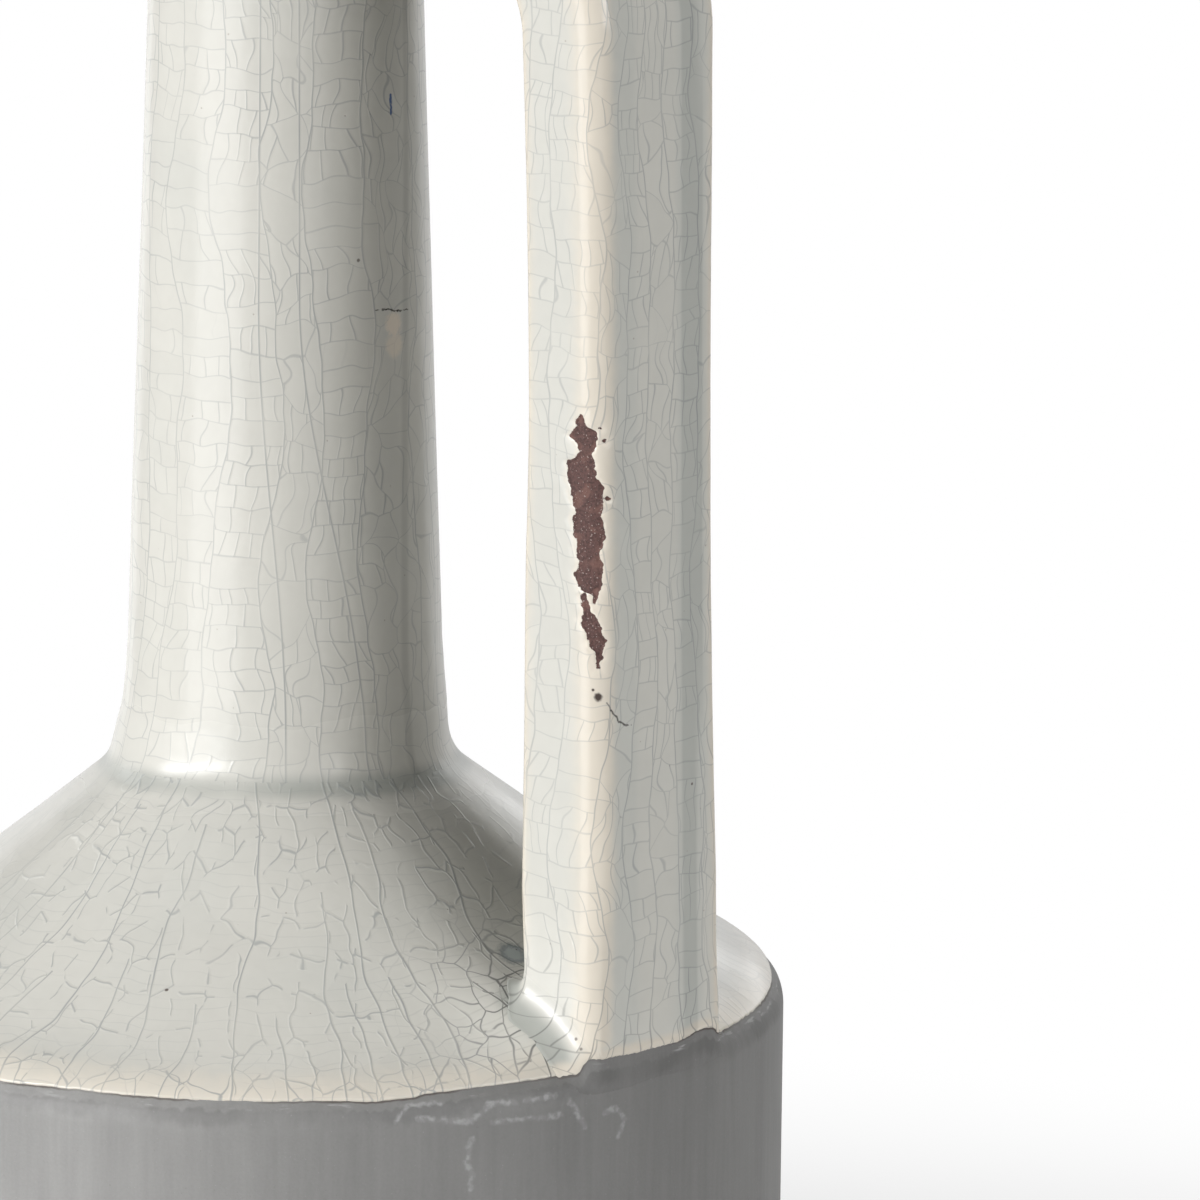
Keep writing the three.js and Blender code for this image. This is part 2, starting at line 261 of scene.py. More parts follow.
def foot_swell(x, y):
    """How far the shoulder rises towards the foot of the strap."""
    near = exp(-((foot_distance(x, y) / 10.0) ** 2))
    return 2.5 * near * (1 - smooth(sqrt(x * x + y * y), 85.5, 94.5))


def settling(place):
    """How the crown has sunk: the neck's foot is fuller on one side, the shoulder higher on the other."""
    radius = place.xy.length
    side = (place.x * cos(FRONT + pi / 2) + place.y * sin(FRONT + pi / 2)) / radius
    fuller = 1.2 * exp(-((place.z - 212.0) / 5.0) ** 2) * max(0.5 - 0.5 * side, 0.0) ** 1.5
    fuller -= slimming(place.z)
    front = max((place.x * cos(FRONT) + place.y * sin(FRONT)) / radius, 0.0)
    higher = 1.2 * max(side, 0.0) ** 2 * exp(-((radius - 52.0) / 12.0) ** 2)
    higher += 2.1 * front ** 2 * (1 - smooth(radius, 34.0, 60.0)) * (1 - smooth(place.z, 213.0, 232.0))
    return fuller, higher + foot_swell(place.x, place.y)


def slimming(height):
    """How much slimmer the neck is than a straight taper."""
    return NECK_SLIMMING * smooth(height, 214.0, 232.0) * (1 - smooth(height, 378.0, 394.0))


def painted_layers(bm, *names):
    """Layers of numbers on the points of a piece, most of which its finish reads."""
    return [bm.verts.layers.float.new(name) for name in names]


def spun(bm, geometry, angle, steps):
    bmesh.ops.spin(
        bm, geom=geometry, cent=(0, 0, 0), axis=(0, 0, 1), dvec=(0, 0, 0),
        angle=angle, steps=steps, use_merge=False, use_duplicate=False,
    )


def thrown(outline, steps):
    """Throw an outline of (radius, height, run, below) points round the axis into a closed shell."""
    bm = bmesh.new()
    run_layer, below_layer = painted_layers(bm, "run", "below")
    wire = []
    for radius, height, run, below in outline:
        vert = bm.verts.new((radius * MM, 0.0, height * MM))
        vert[run_layer] = run
        vert[below_layer] = below
        wire.append(vert)
    pairs = list(zip(wire, wire[1:]))
    if outline[0][0] > 0:
        pairs.append((wire[-1], wire[0]))
    edges = [bm.edges.new(pair) for pair in pairs]
    spun(bm, wire + edges, tau / 8, steps // 8)
    for turn in (tau / 8, tau / 4, tau / 2):
        copied = bmesh.ops.duplicate(bm, geom=bm.verts[:] + bm.edges[:] + bm.faces[:])["geom"]
        copied_verts = [part for part in copied if isinstance(part, bmesh.types.BMVert)]
        bmesh.ops.rotate(bm, cent=(0, 0, 0), matrix=Matrix.Rotation(turn, 3, "Z"), verts=copied_verts)
    bmesh.ops.remove_doubles(bm, verts=bm.verts, dist=3e-6)
    bmesh.ops.recalc_face_normals(bm, faces=bm.faces)
    return bm, run_layer, below_layer


def set_down(name, bm, material):
    """A mesh as an object of the scene, at the origin."""
    mesh = bpy.data.meshes.new(name)
    bm.to_mesh(mesh)
    bm.free()
    mesh.materials.append(material)
    piece = bpy.data.objects.new(name, mesh)
    bpy.context.scene.collection.objects.link(piece)
    return piece


def finished_piece(name, bm, finish, slot, *nodes):
    for face in bm.faces:
        face.smooth = True
    piece = set_down(name, bm, finish)
    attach(piece, "root")
    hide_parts(*nodes)


def under_shoulder(share):
    step = bezier(shoulder_curve, share + 0.002) - bezier(shoulder_curve, share - 0.002)
    along = step.normalized()
    return bezier(shoulder_curve, share) + Vector((-along.y, along.x)) * SHOULDER_WALL


def inner_outline():
    """The inside of the wall from the body up to the mouth."""
    last = 1 - NECK_FILLET / span
    start = under_shoulder(0)
    control = Vector((INNER_RADIUS, start.y - (INNER_RADIUS - start.x) * SLOPE_AT_EDGE))
    edge = [Vector((INNER_RADIUS, EDGE_FOOT)), control, start]
    bore_foot = NECK_FOOT.x - NECK_WALL
    end = under_shoulder(last)
    throat_height = end.y + (end.x - bore_foot) * SLOPE_AT_NECK
    top = throat_height + NECK_FILLET
    throat = [end, Vector((bore_foot, throat_height)), Vector((neck_radius(top) - NECK_WALL, top))]
    points = [bezier(edge, step / 6) for step in range(7)]
    points += [under_shoulder(last * step / 10) for step in range(1, 11)]
    points += [bezier(throat, step / 5) for step in range(1, 6)]
    points.append(Vector((NECK_TOP.x - NECK_WALL, NECK_TOP.y)))
    return points


def crown_runs():
    """Where the glazed wall has its rings: closest at the glaze's edge and round the collar."""
    runs = [LINE_RUN + beyond for beyond in (1.0, 1.5, 2.2, 3.2, 4.4)]
    for end, step in ((NECK_RUN - 10.0, 1.7), (NECK_RUN + 24.0, 1.0), (NECK_TOP_RUN - 8.0, 8.0)):
        while runs[-1] < end:
            runs.append(runs[-1] + step)
    return runs + [NECK_TOP_RUN]


def crown_outline():
    """The crown in section: the rolled edge, the glazed wall, the lip, and down the inside to the seam."""
    outline = [(*wall.at(LINE_RUN, below), LINE_RUN, below) for below in (1.6, 0.75)]
    for step in range(7):
        turn = radians(15.0 * step)
        run = LINE_RUN + COAT_ROUND * (1 - cos(turn))
        below = COAT * (1 - sin(turn))
        outline.append((*wall.at(run, below), run, below))
    outline += [(*wall.at(run), run, 0.0) for run in crown_runs()]
    bore = NECK_TOP.x - NECK_WALL
    half = (NECK_WALL + LIP_FLARE) / 2
    roll = Vector((bore + half, MOUTH_HEIGHT - half))
    flare = [NECK_TOP, Vector((NECK_TOP.x, (NECK_TOP.y + roll.y) / 2)), roll + Vector((half, 0))]
    for step in range(1, 5):
        outline.append((*bezier(flare, step / 4), NECK_TOP_RUN + LIP_RUN * step / 4, OFF_WALL))
    for step in range(1, 13):
        turn = pi * step / 12
        point = roll + Vector((cos(turn), sin(turn))) * half
        outline.append((*point, NECK_TOP_RUN + LIP_RUN + half * turn, OFF_WALL))
    run = NECK_TOP_RUN + LIP_RUN + half * pi
    inside = [point for point in reversed(inner_outline()) if point.y > SEAM_HEIGHT + 0.5]
    previous = roll - Vector((half, 0))
    for point in inside:
        run += (point - previous).length
        outline.append((*point, run, OFF_WALL))
        previous = point
    return outline + [(82.2, SEAM_HEIGHT, run + 2.0, OFF_WALL)]


def glazed_crown(finish):
    """Shoulder, neck and mouth as one glazed skin that ends in a rounded roll on the edge."""
    bm, run_layer, below_layer = thrown(crown_outline(), CROWN_STEPS)
    pool, thin, stain = painted_layers(bm, "pool", "thin", "stain")
    for vert in bm.verts:
        run = vert[run_layer]
        below = vert[below_layer]
        angle = atan2(vert.co.y, vert.co.x)
        place = vert.co / MM
        if below >= 0.0:
            shift = glaze_line(angle) * (1 - smooth(run, LINE_RUN, LINE_RUN + LINE_FADE))
            point = wall.at(run + shift, below)
            fuller, higher = settling(place)
            radius = point.x + hand_wobble(place) * smooth(run, LINE_RUN + 2.0, LINE_RUN + 12.0) + fuller
            vert.co = Vector((cos(angle) * radius, sin(angle) * radius, point.y + higher)) * MM
        handle = foot_distance(place.x, place.y)
        beside = 0.78 * exp(-((handle - 2.0) / 3.2) ** 2) * smooth(abs(place.y), 10.0, 16.0)
        collar = exp(-((run - NECK_RUN + 2.2) / 3.0) ** 2) * (0.8 + 0.5 * ramble(place, 14.0, 15.0))
        vert[pool] = max(beside, collar)
        vert[stain] = exp(-((handle / 15.0) ** 2)) * (1 - smooth(run, NECK_RUN - 40.0, NECK_RUN - 20.0))
        lip_run = run - NECK_TOP_RUN
        lip = smooth(lip_run, 7.0, 11.0) * (1 - smooth(lip_run, 14.0, 18.0))
        vert[thin] = max(0.62 - 0.62 * smooth(run - LINE_RUN, 0.4, 15.0), lip)
    lay = bm.loops.layers.uv.new("lay")
    for face in bm.faces:
        centre = face.calc_center_median()
        middle = (atan2(centre.y, centre.x) - FRONT + pi) % tau - pi
        for loop in face.loops:
            angle = atan2(loop.vert.co.y, loop.vert.co.x) - FRONT
            angle = middle + (angle - middle + pi) % tau - pi
            loop[lay].uv = (angle * LAY_RADIUS, loop.vert[run_layer] - NECK_RUN)
    finished_piece("glazed_crown", bm, finish, "crackle_glaze", "shoulder", "neck", "mouth_rim")


def grey_body(finish):
    """Foot ring, floor and wall of bare grey clay; its top edge runs up under the glaze."""
    foot = [(0.0, 4.0), (40.0, 4.0), (79.8, 4.0), (80.4, 3.8), (80.8, 3.2), (80.8, 1.0)]
    foot += [(81.1, 0.3), (81.8, 0.0), (85.8, 0.0), (89.8, 0.0), (90.5, 0.3), (90.8, 1.0), (90.8, 3.2)]
    foot += [(91.1, 3.8), (91.7, 4.0), (93.3, 4.0), (94.25, 4.2), (95.05, 4.75), (95.6, 5.55), (95.8, 6.5)]
    foot += [(BODY_RADIUS, 6.5 + 143.5 * step / 29) for step in range(1, 29)]
    outline = [(*point, OFF_WALL, OFF_WALL) for point in foot]
    run = 0.0
    while run < LINE_RUN + TUCK:
        outline.append((*wall.at(run), run, 0.0))
        run += 1.0 if run < 8.0 else 0.45
    inside = [wall.at(run, TUCK), (84.0, 165.8), (88.45, 162.0), (INNER_RADIUS, EDGE_FOOT)]
    inside += [(INNER_RADIUS, height) for height in (140.0, 100.0, 60.0, 20.0)]
    inside += [(89.0, 15.5), (86.8, 13.0), (83.0, 12.0), (40.0, 12.0), (0.0, 12.0)]
    outline += [(*point, OFF_WALL, OFF_WALL) for point in inside]

    bm, run_layer, below_layer = thrown(outline, BODY_STEPS)
    beneath, = painted_layers(bm, "beneath")
    for vert in bm.verts:
        vert[beneath] = 60.0
        place = vert.co / MM
        radius = place.xy.length
        if radius < 1.0:
            continue
        angle = atan2(place.y, place.x)
        if vert[below_layer] >= 0.0:
            line = LINE_RUN + glaze_line(angle)
            vert[beneath] = line - vert[run_layer]
            sunk = COAT * smooth(vert[run_layer], line - 3.2, line - 0.2)
            point = wall.at(vert[run_layer], sunk)
            if place.x > 0 and abs(place.y) < 22.0:
                vert[beneath] = max(vert[beneath], strap_line(place.y) - place.z)
            vert.co = Vector((cos(angle) * point.x, sin(angle) * point.x, point.y)) * MM
        elif radius > INNER_RADIUS + 3.0 and place.z > 7.0:
            vert[beneath] = LINE_RUN + 150.0 - place.z
    finished_piece("grey_body", bm, finish, "bare_stoneware", "foot_ring", "base_floor", "body_wall")


# Chipped places on the front corner of the strap: height, then how far they reach to either side,
# measured square to the view from the front
BIG_CHIP = [
    (287.5, -3.9, -2.9), (286.2, -4.5, -2.7), (285.5, -4.1, -2.0), (284.8, -4.7, -0.5), (283.5, -5.4, 0.0),
    (281.8, -4.0, -0.4), (280.7, -3.8, -1.3), (279.6, -4.3, -0.9), (278.9, -5.9, -0.6), (276.5, -6.0, -0.6),
    (275.8, -6.0, 0.2), (274.5, -5.8, 0.9), (273.1, -5.3, 0.7), (271.2, -4.9, 0.9), (269.6, -4.7, 0.3),
    (267.7, -5.1, 0.9), (265.4, -4.7, 1.8), (264.3, -4.4, 0.9), (262.8, -4.6, 0.1), (260.6, -4.0, 0.7),
    (258.0, -4.6, 0.8), (256.5, -4.2, 0.7), (255.4, -3.5, 0.3), (254.7, -1.3, -0.2), (252.9, -1.0, -0.8),
]
SMALL_CHIP = [
    (254.9, -2.9, -2.6), (254.3, -3.8, -2.3), (253.2, -3.5, -2.0), (251.9, -2.9, -1.5), (250.7, -3.3, -0.4),
    (249.4, -3.5, 0.1), (247.7, -2.6, 0.7), (246.4, -2.0, 1.4), (245.3, -2.0, 1.2), (244.4, -1.1, 0.7),
    (243.1, -0.8, 0.7), (241.6, -0.6, 0.1),
]
CHIP_DOTS = [(285.3, 0.2, 0.3), (272.5, 1.6, 0.4), (283.1, 0.9, 0.5)]


def inside_chip(outline, across, height):
    """Distance inside a chip's outline in millimetres, below zero outside it."""
    top, bottom = outline[0][0], outline[-1][0]
    level = min(max(height, bottom), top)
    for upper, lower in zip(outline, outline[1:]):
        if level >= lower[0]:
            share = (upper[0] - level) / (upper[0] - lower[0])
            left = upper[1] + (lower[1] - upper[1]) * share
            right = upper[2] + (lower[2] - upper[2]) * share
            break
    return min(across - left, right - across, (top - height) + 0.4, (height - bottom) + 0.4)


def chip_depth(place, corner_across):
    """How far inside the torn edge of a chip a place lies."""
    across = place.x * cos(VIEW_SIDE) + place.y * sin(VIEW_SIDE) - corner_across
    height = place.z
    jagged = 0.45 * ramble(place, 1.5, 11.0) + 0.25 * ramble(place, 0.7, 12.0)
    depth = max(inside_chip(BIG_CHIP, across, height), inside_chip(SMALL_CHIP, across, height))
    for level, middle, reach in CHIP_DOTS:
        away = sqrt((across - middle) ** 2 + (height - level) ** 2)
        depth = max(depth, reach - away)
    return depth + jagged


def strap_line(y):
    """Height at which the glaze stops on the strap's foot."""
    line = 168.0 + 0.45 * smooth(-y, 0.0, 16.0) + 1.0 * smooth(y, 7.0, 14.0)
    ragged = 0.1 + 0.3 * smooth(y, 12.5, 15.0)
    line += 0.15 * ramble((y, 0, 0), 3.0, 7.0) + ragged * ramble((y, 0, 0), 0.9, 8.0)
    return line - 2.6 * smooth(y, 15.0, 21.5) - 2.5 * smooth(-y, 15.6, 18.4)


def strap_size(height):
    """Width and thickness of the strap at a height, and how far out its middle stands."""
    foot = max(0.0, (WAIST_HEIGHT - height) / (WAIST_HEIGHT - EDGE_FOOT)) ** 2
    bend = max(0.0, (height - WAIST_HEIGHT) / (STRAP_TOP - WAIST_HEIGHT)) ** 2
    size = Vector((STRAP_WIDTH, STRAP_THICKNESS)) + FOOT_SWELL * foot + BEND_SWELL * bend
    inner = INNER_SWELL - INNER_SWELL_TAPER * smooth(height, 250.0, 292.0)
    size.y += inner * (0.35 + 0.65 * smooth(height, 176.0, 200.0))
    outer = BODY_RADIUS - STRAP_LEAN * (height - EDGE_FOOT) / (STRAP_TOP - EDGE_FOOT)
    return size.x, size.y, outer - size.y / 2


# The strap's four corners going round: across the thickness, across the width, radius, arc steps
CORNERS = ((-1, 1, 2.4, 7), (-1, -1, 2.3, 8), (1, -1, 4.9, 20), (1, 1, 1.5, 8))


def face_shares(length, dense_from_start, dense_to_end):
    """Places of the points along a face, close together near the chipped corner."""
    places = []
    at = 0.0
    while at < length - 0.2:
        near = min(at if dense_from_start else 99.0, length - at if dense_to_end else 99.0)
        at += 0.3 if near < 6.0 else 2.4
        if at < length - 0.2:
            places.append(at / length)
    return places


FACE_PLACES = (
    face_shares(25.7, False, False),
    face_shares(11.9, False, True),
    face_shares(25.0, True, False),
    face_shares(12.8, False, False),
)


def strap_outline(width, thickness):
    """Points round the strap with their outward normals."""
    points = []
    for index, (side_a, side_b, radius, steps) in enumerate(CORNERS):
        start = pi / 2 + index * pi / 2
        centre = Vector((side_a * (thickness / 2 - radius), side_b * (width / 2 - radius)))
        for step in range(steps + 1):
            turn = start + pi / 2 * step / steps
            normal = Vector((cos(turn), sin(turn)))
            points.append((centre + normal * radius, normal))
        next_a, next_b, next_radius, _ = CORNERS[(index + 1) % 4]
        next_centre = Vector((next_a * (thickness / 2 - next_radius), next_b * (width / 2 - next_radius)))
        ending = points[-1][0]
        beginning = next_centre + normal * next_radius
        points += [(ending.lerp(beginning, share), normal) for share in FACE_PLACES[index]]
    result = []
    swell = min(max((width - STRAP_WIDTH) / FOOT_SWELL.x, 0.0), 1.0)
    for point, normal in points:
        beyond = max(0.0, point.y - FACET_START)
        fall = FACET_FALL * beyond * smooth(point.x, -2.0, 6.0)
        reach = (FACET_REACH.x + FACET_REACH.y * swell) * beyond
        result.append((point + Vector((-fall, reach)), normal))
    return result


nominal = [point for point, _ in strap_outline(STRAP_WIDTH, STRAP_THICKNESS)]
around_runs = [0.0]
for here, there in zip(nominal, nominal[1:]):
    around_runs.append(around_runs[-1] + (there - here).length)
ROUND_LENGTH = around_runs[-1] + (nominal[0] - nominal[-1]).length
corner_index = max(range(len(nominal)), key=lambda i: nominal[i].x - nominal[i].y)
around_runs = [run - around_runs[corner_index] for run in around_runs]
corner_runs = [
    around_runs[max(range(len(nominal)), key=lambda i: nominal[i].x * a + nominal[i].y * b)]
    for a, b, radius, steps in CORNERS
]


def strap_ring(height):
    width, thickness, centre = strap_size(height)
    outline = strap_outline(width, thickness)
    return [Vector((centre + point.x, point.y, height)) for point, _ in outline]


def foot_ring(turn, sunk):
    """A ring of the fillet between the strap and the shoulder."""
    width, thickness, centre = strap_size(surface_height(BODY_RADIUS - STRAP_THICKNESS))
    height = FOOT_FILLET_RISE * (1 - sin(turn)) - sunk
    ring = []
    for point, normal in strap_outline(width, thickness):
        square = 1 - min(abs(normal.x * normal.y) * 2, 1) * (0.45 if point.x < 0 else 0)
        stand = FOOT_FILLET * square * (1 - cos(turn))
        foot = Vector((centre + point.x + min(normal.x, 0) * stand, point.y + normal.y * stand))
        if foot.length > BODY_RADIUS:
            foot = foot * (BODY_RADIUS / foot.length)
        level = surface_height(foot.length) + foot_swell(foot.x, foot.y)
        ring.append(Vector((foot.x, foot.y, level + height)))
    return ring


def bend_ring(turn):
    """A ring of the bend from the upright to the bridge."""
    width, thickness, centre = strap_size(STRAP_TOP)
    pivot = centre - thickness / 2 - BEND_RADIUS
    reach = BEND_RADIUS + thickness / 2
    ring = []
    for point, _ in strap_outline(width, thickness):
        arm = reach + point.x
        ring.append(Vector((pivot + arm * cos(turn), point.y, STRAP_TOP + arm * sin(turn))))
    return ring


def join_ring(turn, sunk):
    """A ring of the fillet between the bridge of the strap and the neck."""
    width, thickness, _ = strap_size(STRAP_TOP)
    level = STRAP_TOP + BEND_RADIUS + thickness / 2
    ring = []
    for point, normal in strap_outline(width, thickness):
        upright = JOIN_FILLET_UNDER if normal.x < 0 else JOIN_FILLET_TOP
        fillet = JOIN_FILLET_SIDE + (upright - JOIN_FILLET_SIDE) * normal.x ** 2
        y = point.y + normal.y * fillet * (1 - cos(turn))
        z = level + point.x + normal.x * fillet * (1 - cos(turn))
        skin = sqrt(max((neck_radius(z) - slimming(z)) ** 2 - y * y, 0.0))
        ring.append(Vector((skin + fillet * (1 - sin(turn)) - sunk, y, z)))
    return ring


def strap_rings():
    """The strap's sections in order: buried foot, fillet, saddle, upright, bend, join, buried root."""
    quarter = pi / 2
    rings = [foot_ring(quarter * 1.04, 1.2)]
    rings += [foot_ring(quarter * (1 - step / 12), 0.0) for step in range(13)]
    saddle = rings[-1]
    level = strap_ring(UPRIGHT_START)
    shares = [0.012 * step for step in range(1, 13)] + [0.19, 0.26, 0.35, 0.45, 0.56, 0.68, 0.8, 0.9]
    for share in shares:
        rings.append([low + (high - low) * share for low, high in zip(saddle, level)])
    height = UPRIGHT_START
    while height < STRAP_TOP - 2.0:
        rings.append(strap_ring(height))
        height += 0.3 if CHIP_LOW <= height < CHIP_HIGH else 4.0
    rings += [bend_ring(quarter * step / 20) for step in range(21)]
    rings += [join_ring(quarter * step / 14, 0.0) for step in range(15)]
    rings.append(join_ring(quarter * 1.02, 1.5))
    return rings


def climbs_along(rings):
    """How far along the strap each point of each ring lies, counted from one ring of the upright."""
    waist = min(range(len(rings)), key=lambda i: abs(rings[i][0].z - 240.0))
    climbs = [None] * len(rings)
    climbs[waist] = [point.z for point in rings[waist]]
    for index in range(waist + 1, len(rings)):
        pairs = zip(climbs[index - 1], rings[index], rings[index - 1])
        climbs[index] = [climb + (point - lower).length for climb, point, lower in pairs]
    for index in range(waist - 1, -1, -1):
        pairs = zip(climbs[index + 1], rings[index + 1], rings[index])
        climbs[index] = [climb - (upper - point).length for climb, upper, point in pairs]
    return climbs


def strap_thinness(place, around, above, below_line, on_outside):
    """How thin the glaze lies: at the strap's corners, and along its lower edge."""
    thinness = 0.0
    reaches = (1.5, 1.9, 5.0 if around < 0.0 else 3.6, 1.6)
    for run, reach in zip(corner_runs, reaches):
        away = min(abs(around - run), abs(around - run + ROUND_LENGTH), abs(around - run - ROUND_LENGTH))
        thinness = max(thinness, exp(-((away / reach) ** 2)))
    thinness *= max(smooth(above, 4.0, 15.0), on_outside * smooth(place.z, 168.0, 172.0))
    thinness = max(thinness, (1 - smooth(-below_line, 0.2, 3.6)) * on_outside)
    if place.z < 160.0 or place.z > 380.0:
        thinness *= 0.5
    return thinness


def strap_cool_and_shade(place, around, on_outside):
    """Where the strap's glaze is painted cooler and darker in bands down it; the band on the far facet is
    painted shade.
    """
    front_band = smooth(place.y, -12.6, -10.8) * (1 - smooth(place.y, -6.5, -3.5))
    painted_shade_band = smooth(place.y, 4.8, 6.1) * (1 - smooth(place.y, 12.8, 14.4))
    side_band = 0.2 * (1 - smooth(abs(around + 9.4), 2.0, 5.0)) if around < 0.0 else 0.0
    return max((0.6 * front_band + painted_shade_band) * on_outside, side_band)


def strap_relief(place, depth, below_line, on_outside):
    """How far the surface stands out from the smooth strap: the hand's wobble, less chips and bare foot."""
    wobble = 0.16 * ramble(place, 38.0, 9.0) + 0.05 * ramble(place, 9.0, 10.0)
    wobble *= smooth(place.z, 172.0, 186.0) * (1 - smooth(place.z, 352.0, 366.0))
    sink = 0.5 * smooth(depth, 0.0, 0.3) + 0.12 * smooth(depth, 0.0, 2.5)
    if depth > 0.1:
        sink += 0.16 * ramble(place, 1.1, 13.0) + 0.1 * ramble(place, 0.55, 14.0)
    else:
        sink += 0.16 * smooth(depth, -1.4, -0.1)
    sink += COAT * smooth(below_line, -0.3, 0.2) * (1 - smooth(below_line, 0.4, 3.6)) * on_outside
    sink += 0.6 * (1 - smooth(place.z, 160.2, 163.0)) * on_outside
    return wobble - sink


def strap_handle(finish):
    """The strap pulled ring by ring from its foot on the edge to its root on the neck."""
    rings = strap_rings()
    climbs = climbs_along(rings)
    count = len(nominal)
    bm = bmesh.new()
    place_layer = bm.verts.layers.int.new("place")
    climb, = painted_layers(bm, "climb")
    wire = []
    for index, point in enumerate(rings[0]):
        vert = bm.verts.new(point * MM)
        vert[place_layer] = index
        vert[climb] = climbs[0][index]
        wire.append(vert)
    edges = [bm.edges.new((wire[i], wire[(i + 1) % count])) for i in range(count)]
    bmesh.ops.edgeloop_fill(bm, edges=edges)
    for ring, ring_climbs in zip(rings[1:], climbs[1:]):
        pulled = bmesh.ops.extrude_edge_only(bm, edges=edges)["geom"]
        edges = [part for part in pulled if isinstance(part, bmesh.types.BMEdge)]
        for part in pulled:
            if isinstance(part, bmesh.types.BMVert):
                part.co = ring[part[place_layer]] * MM
                part[climb] = ring_climbs[part[place_layer]]
    bmesh.ops.edgeloop_fill(bm, edges=edges)
    bmesh.ops.recalc_face_normals(bm, faces=bm.faces)
    bm.normal_update()

    chip, bare, thin, pool, stain, cool_and_shade = painted_layers(bm, "chip", "bare", "thin", "pool", "stain", "cool_and_shade")
    moves = []
    across_way = Vector((cos(VIEW_SIDE), sin(VIEW_SIDE), 0))
    for vert in bm.verts:
        place = vert.co / MM
        around = around_runs[vert[place_layer]]
        width, thickness, centre = strap_size(place.z)
        corner = Vector((centre + thickness / 2 - 0.7, -width / 2 + 0.7, 0)).dot(across_way)
        near_front = abs(around) < 11.0 and CHIP_LOW - 1.5 < place.z < CHIP_HIGH
        depth = chip_depth(place, corner) if near_front else -3.0
        vert[chip] = max(depth, -3.0)
        below_line = strap_line(place.y) - place.z
        on_outside = smooth(place.x, 86.0, 90.0)
        vert[bare] = below_line if on_outside > 0.5 else -3.0
        above = place.z - surface_height(place.xy.length) - foot_swell(place.x, place.y)
        vert[thin] = strap_thinness(place, around, above, below_line, on_outside)
        fillet = exp(-((above - 0.3) / 2.3) ** 2) if place.z < 200 else 0.0
        vert[pool] = fillet * (1 - smooth(place.x, 89.0, 93.5)) * smooth(abs(place.y), 10.0, 16.0)
        vert[stain] = exp(-((above / 13.0) ** 2)) if above < 60.0 else 0.0
        vert[cool_and_shade] = strap_cool_and_shade(place, around, on_outside)
        moves.append((vert, vert.normal * strap_relief(place, depth, below_line, on_outside) * MM))
    for vert, move in moves:
        vert.co += move
    lay = bm.loops.layers.uv.new("lay")
    for face in bm.faces:
        indices = [loop.vert[place_layer] for loop in face.loops]
        wraps = len(indices) == 4 and max(indices) - min(indices) > count // 2
        for loop in face.loops:
            run = around_runs[loop.vert[place_layer]]
            if wraps and loop.vert[place_layer] < count // 2:
                run += ROUND_LENGTH
            loop[lay].uv = (run, loop.vert[climb])
    finished_piece("strap_handle", bm, finish, "crackle_glaze", "handle_upright", "handle_bridge")


class Signal:
    """A value on its way through a finish; arithmetic on it adds Math nodes."""

    def __init__(self, finish, socket):
        self.finish = finish
        self.socket = socket

    def maths(self, operation, first, second=0.0):
        return self.finish.node("ShaderNodeMath", {"operation": operation}, {0: first, 1: second})

    def __add__(self, other):
        return self.maths("ADD", self, other)

    def __radd__(self, other):
        return self.maths("ADD", other, self)

    def __sub__(self, other):
        return self.maths("SUBTRACT", self, other)

    def __rsub__(self, other):
        return self.maths("SUBTRACT", other, self)

    def __mul__(self, other):
        return self.maths("MULTIPLY", self, other)

    def __rmul__(self, other):
        return self.maths("MULTIPLY", other, self)

    def __truediv__(self, other):
        return self.maths("DIVIDE", self, other)

    def __rtruediv__(self, other):
        return self.maths("DIVIDE", other, self)

    def __abs__(self):
        return self.maths("ABSOLUTE", self)

    def below(self, other):
        return self.maths("LESS_THAN", self, other)

    def least(self, other):
        return self.maths("MINIMUM", self, other)

    def most(self, other):
        return self.maths("MAXIMUM", self, other)

    def logarithm(self, base):
        return self.maths("LOGARITHM", self, base)

    def rise(self, low, high, start=0.0, end=1.0):
        """A smooth step from one value to another as this one goes from low to high."""
        return self.finish.node(
            "ShaderNodeMapRange", {"interpolation_type": "SMOOTHSTEP"},
            {"Value": self, 1: low, 2: high, 3: start, 4: end},
        )

    def crack(self, width, core=0.2, fade=1.4):
        """How strongly a crack shows at this distance from its middle."""
        return (self / width).rise(core, fade, 1.0, 0.0)

    def lip(self):
        """How far the glaze stands up at this distance from a crack."""
        return self.rise(0.0, 0.45, 1.0, 0.0)


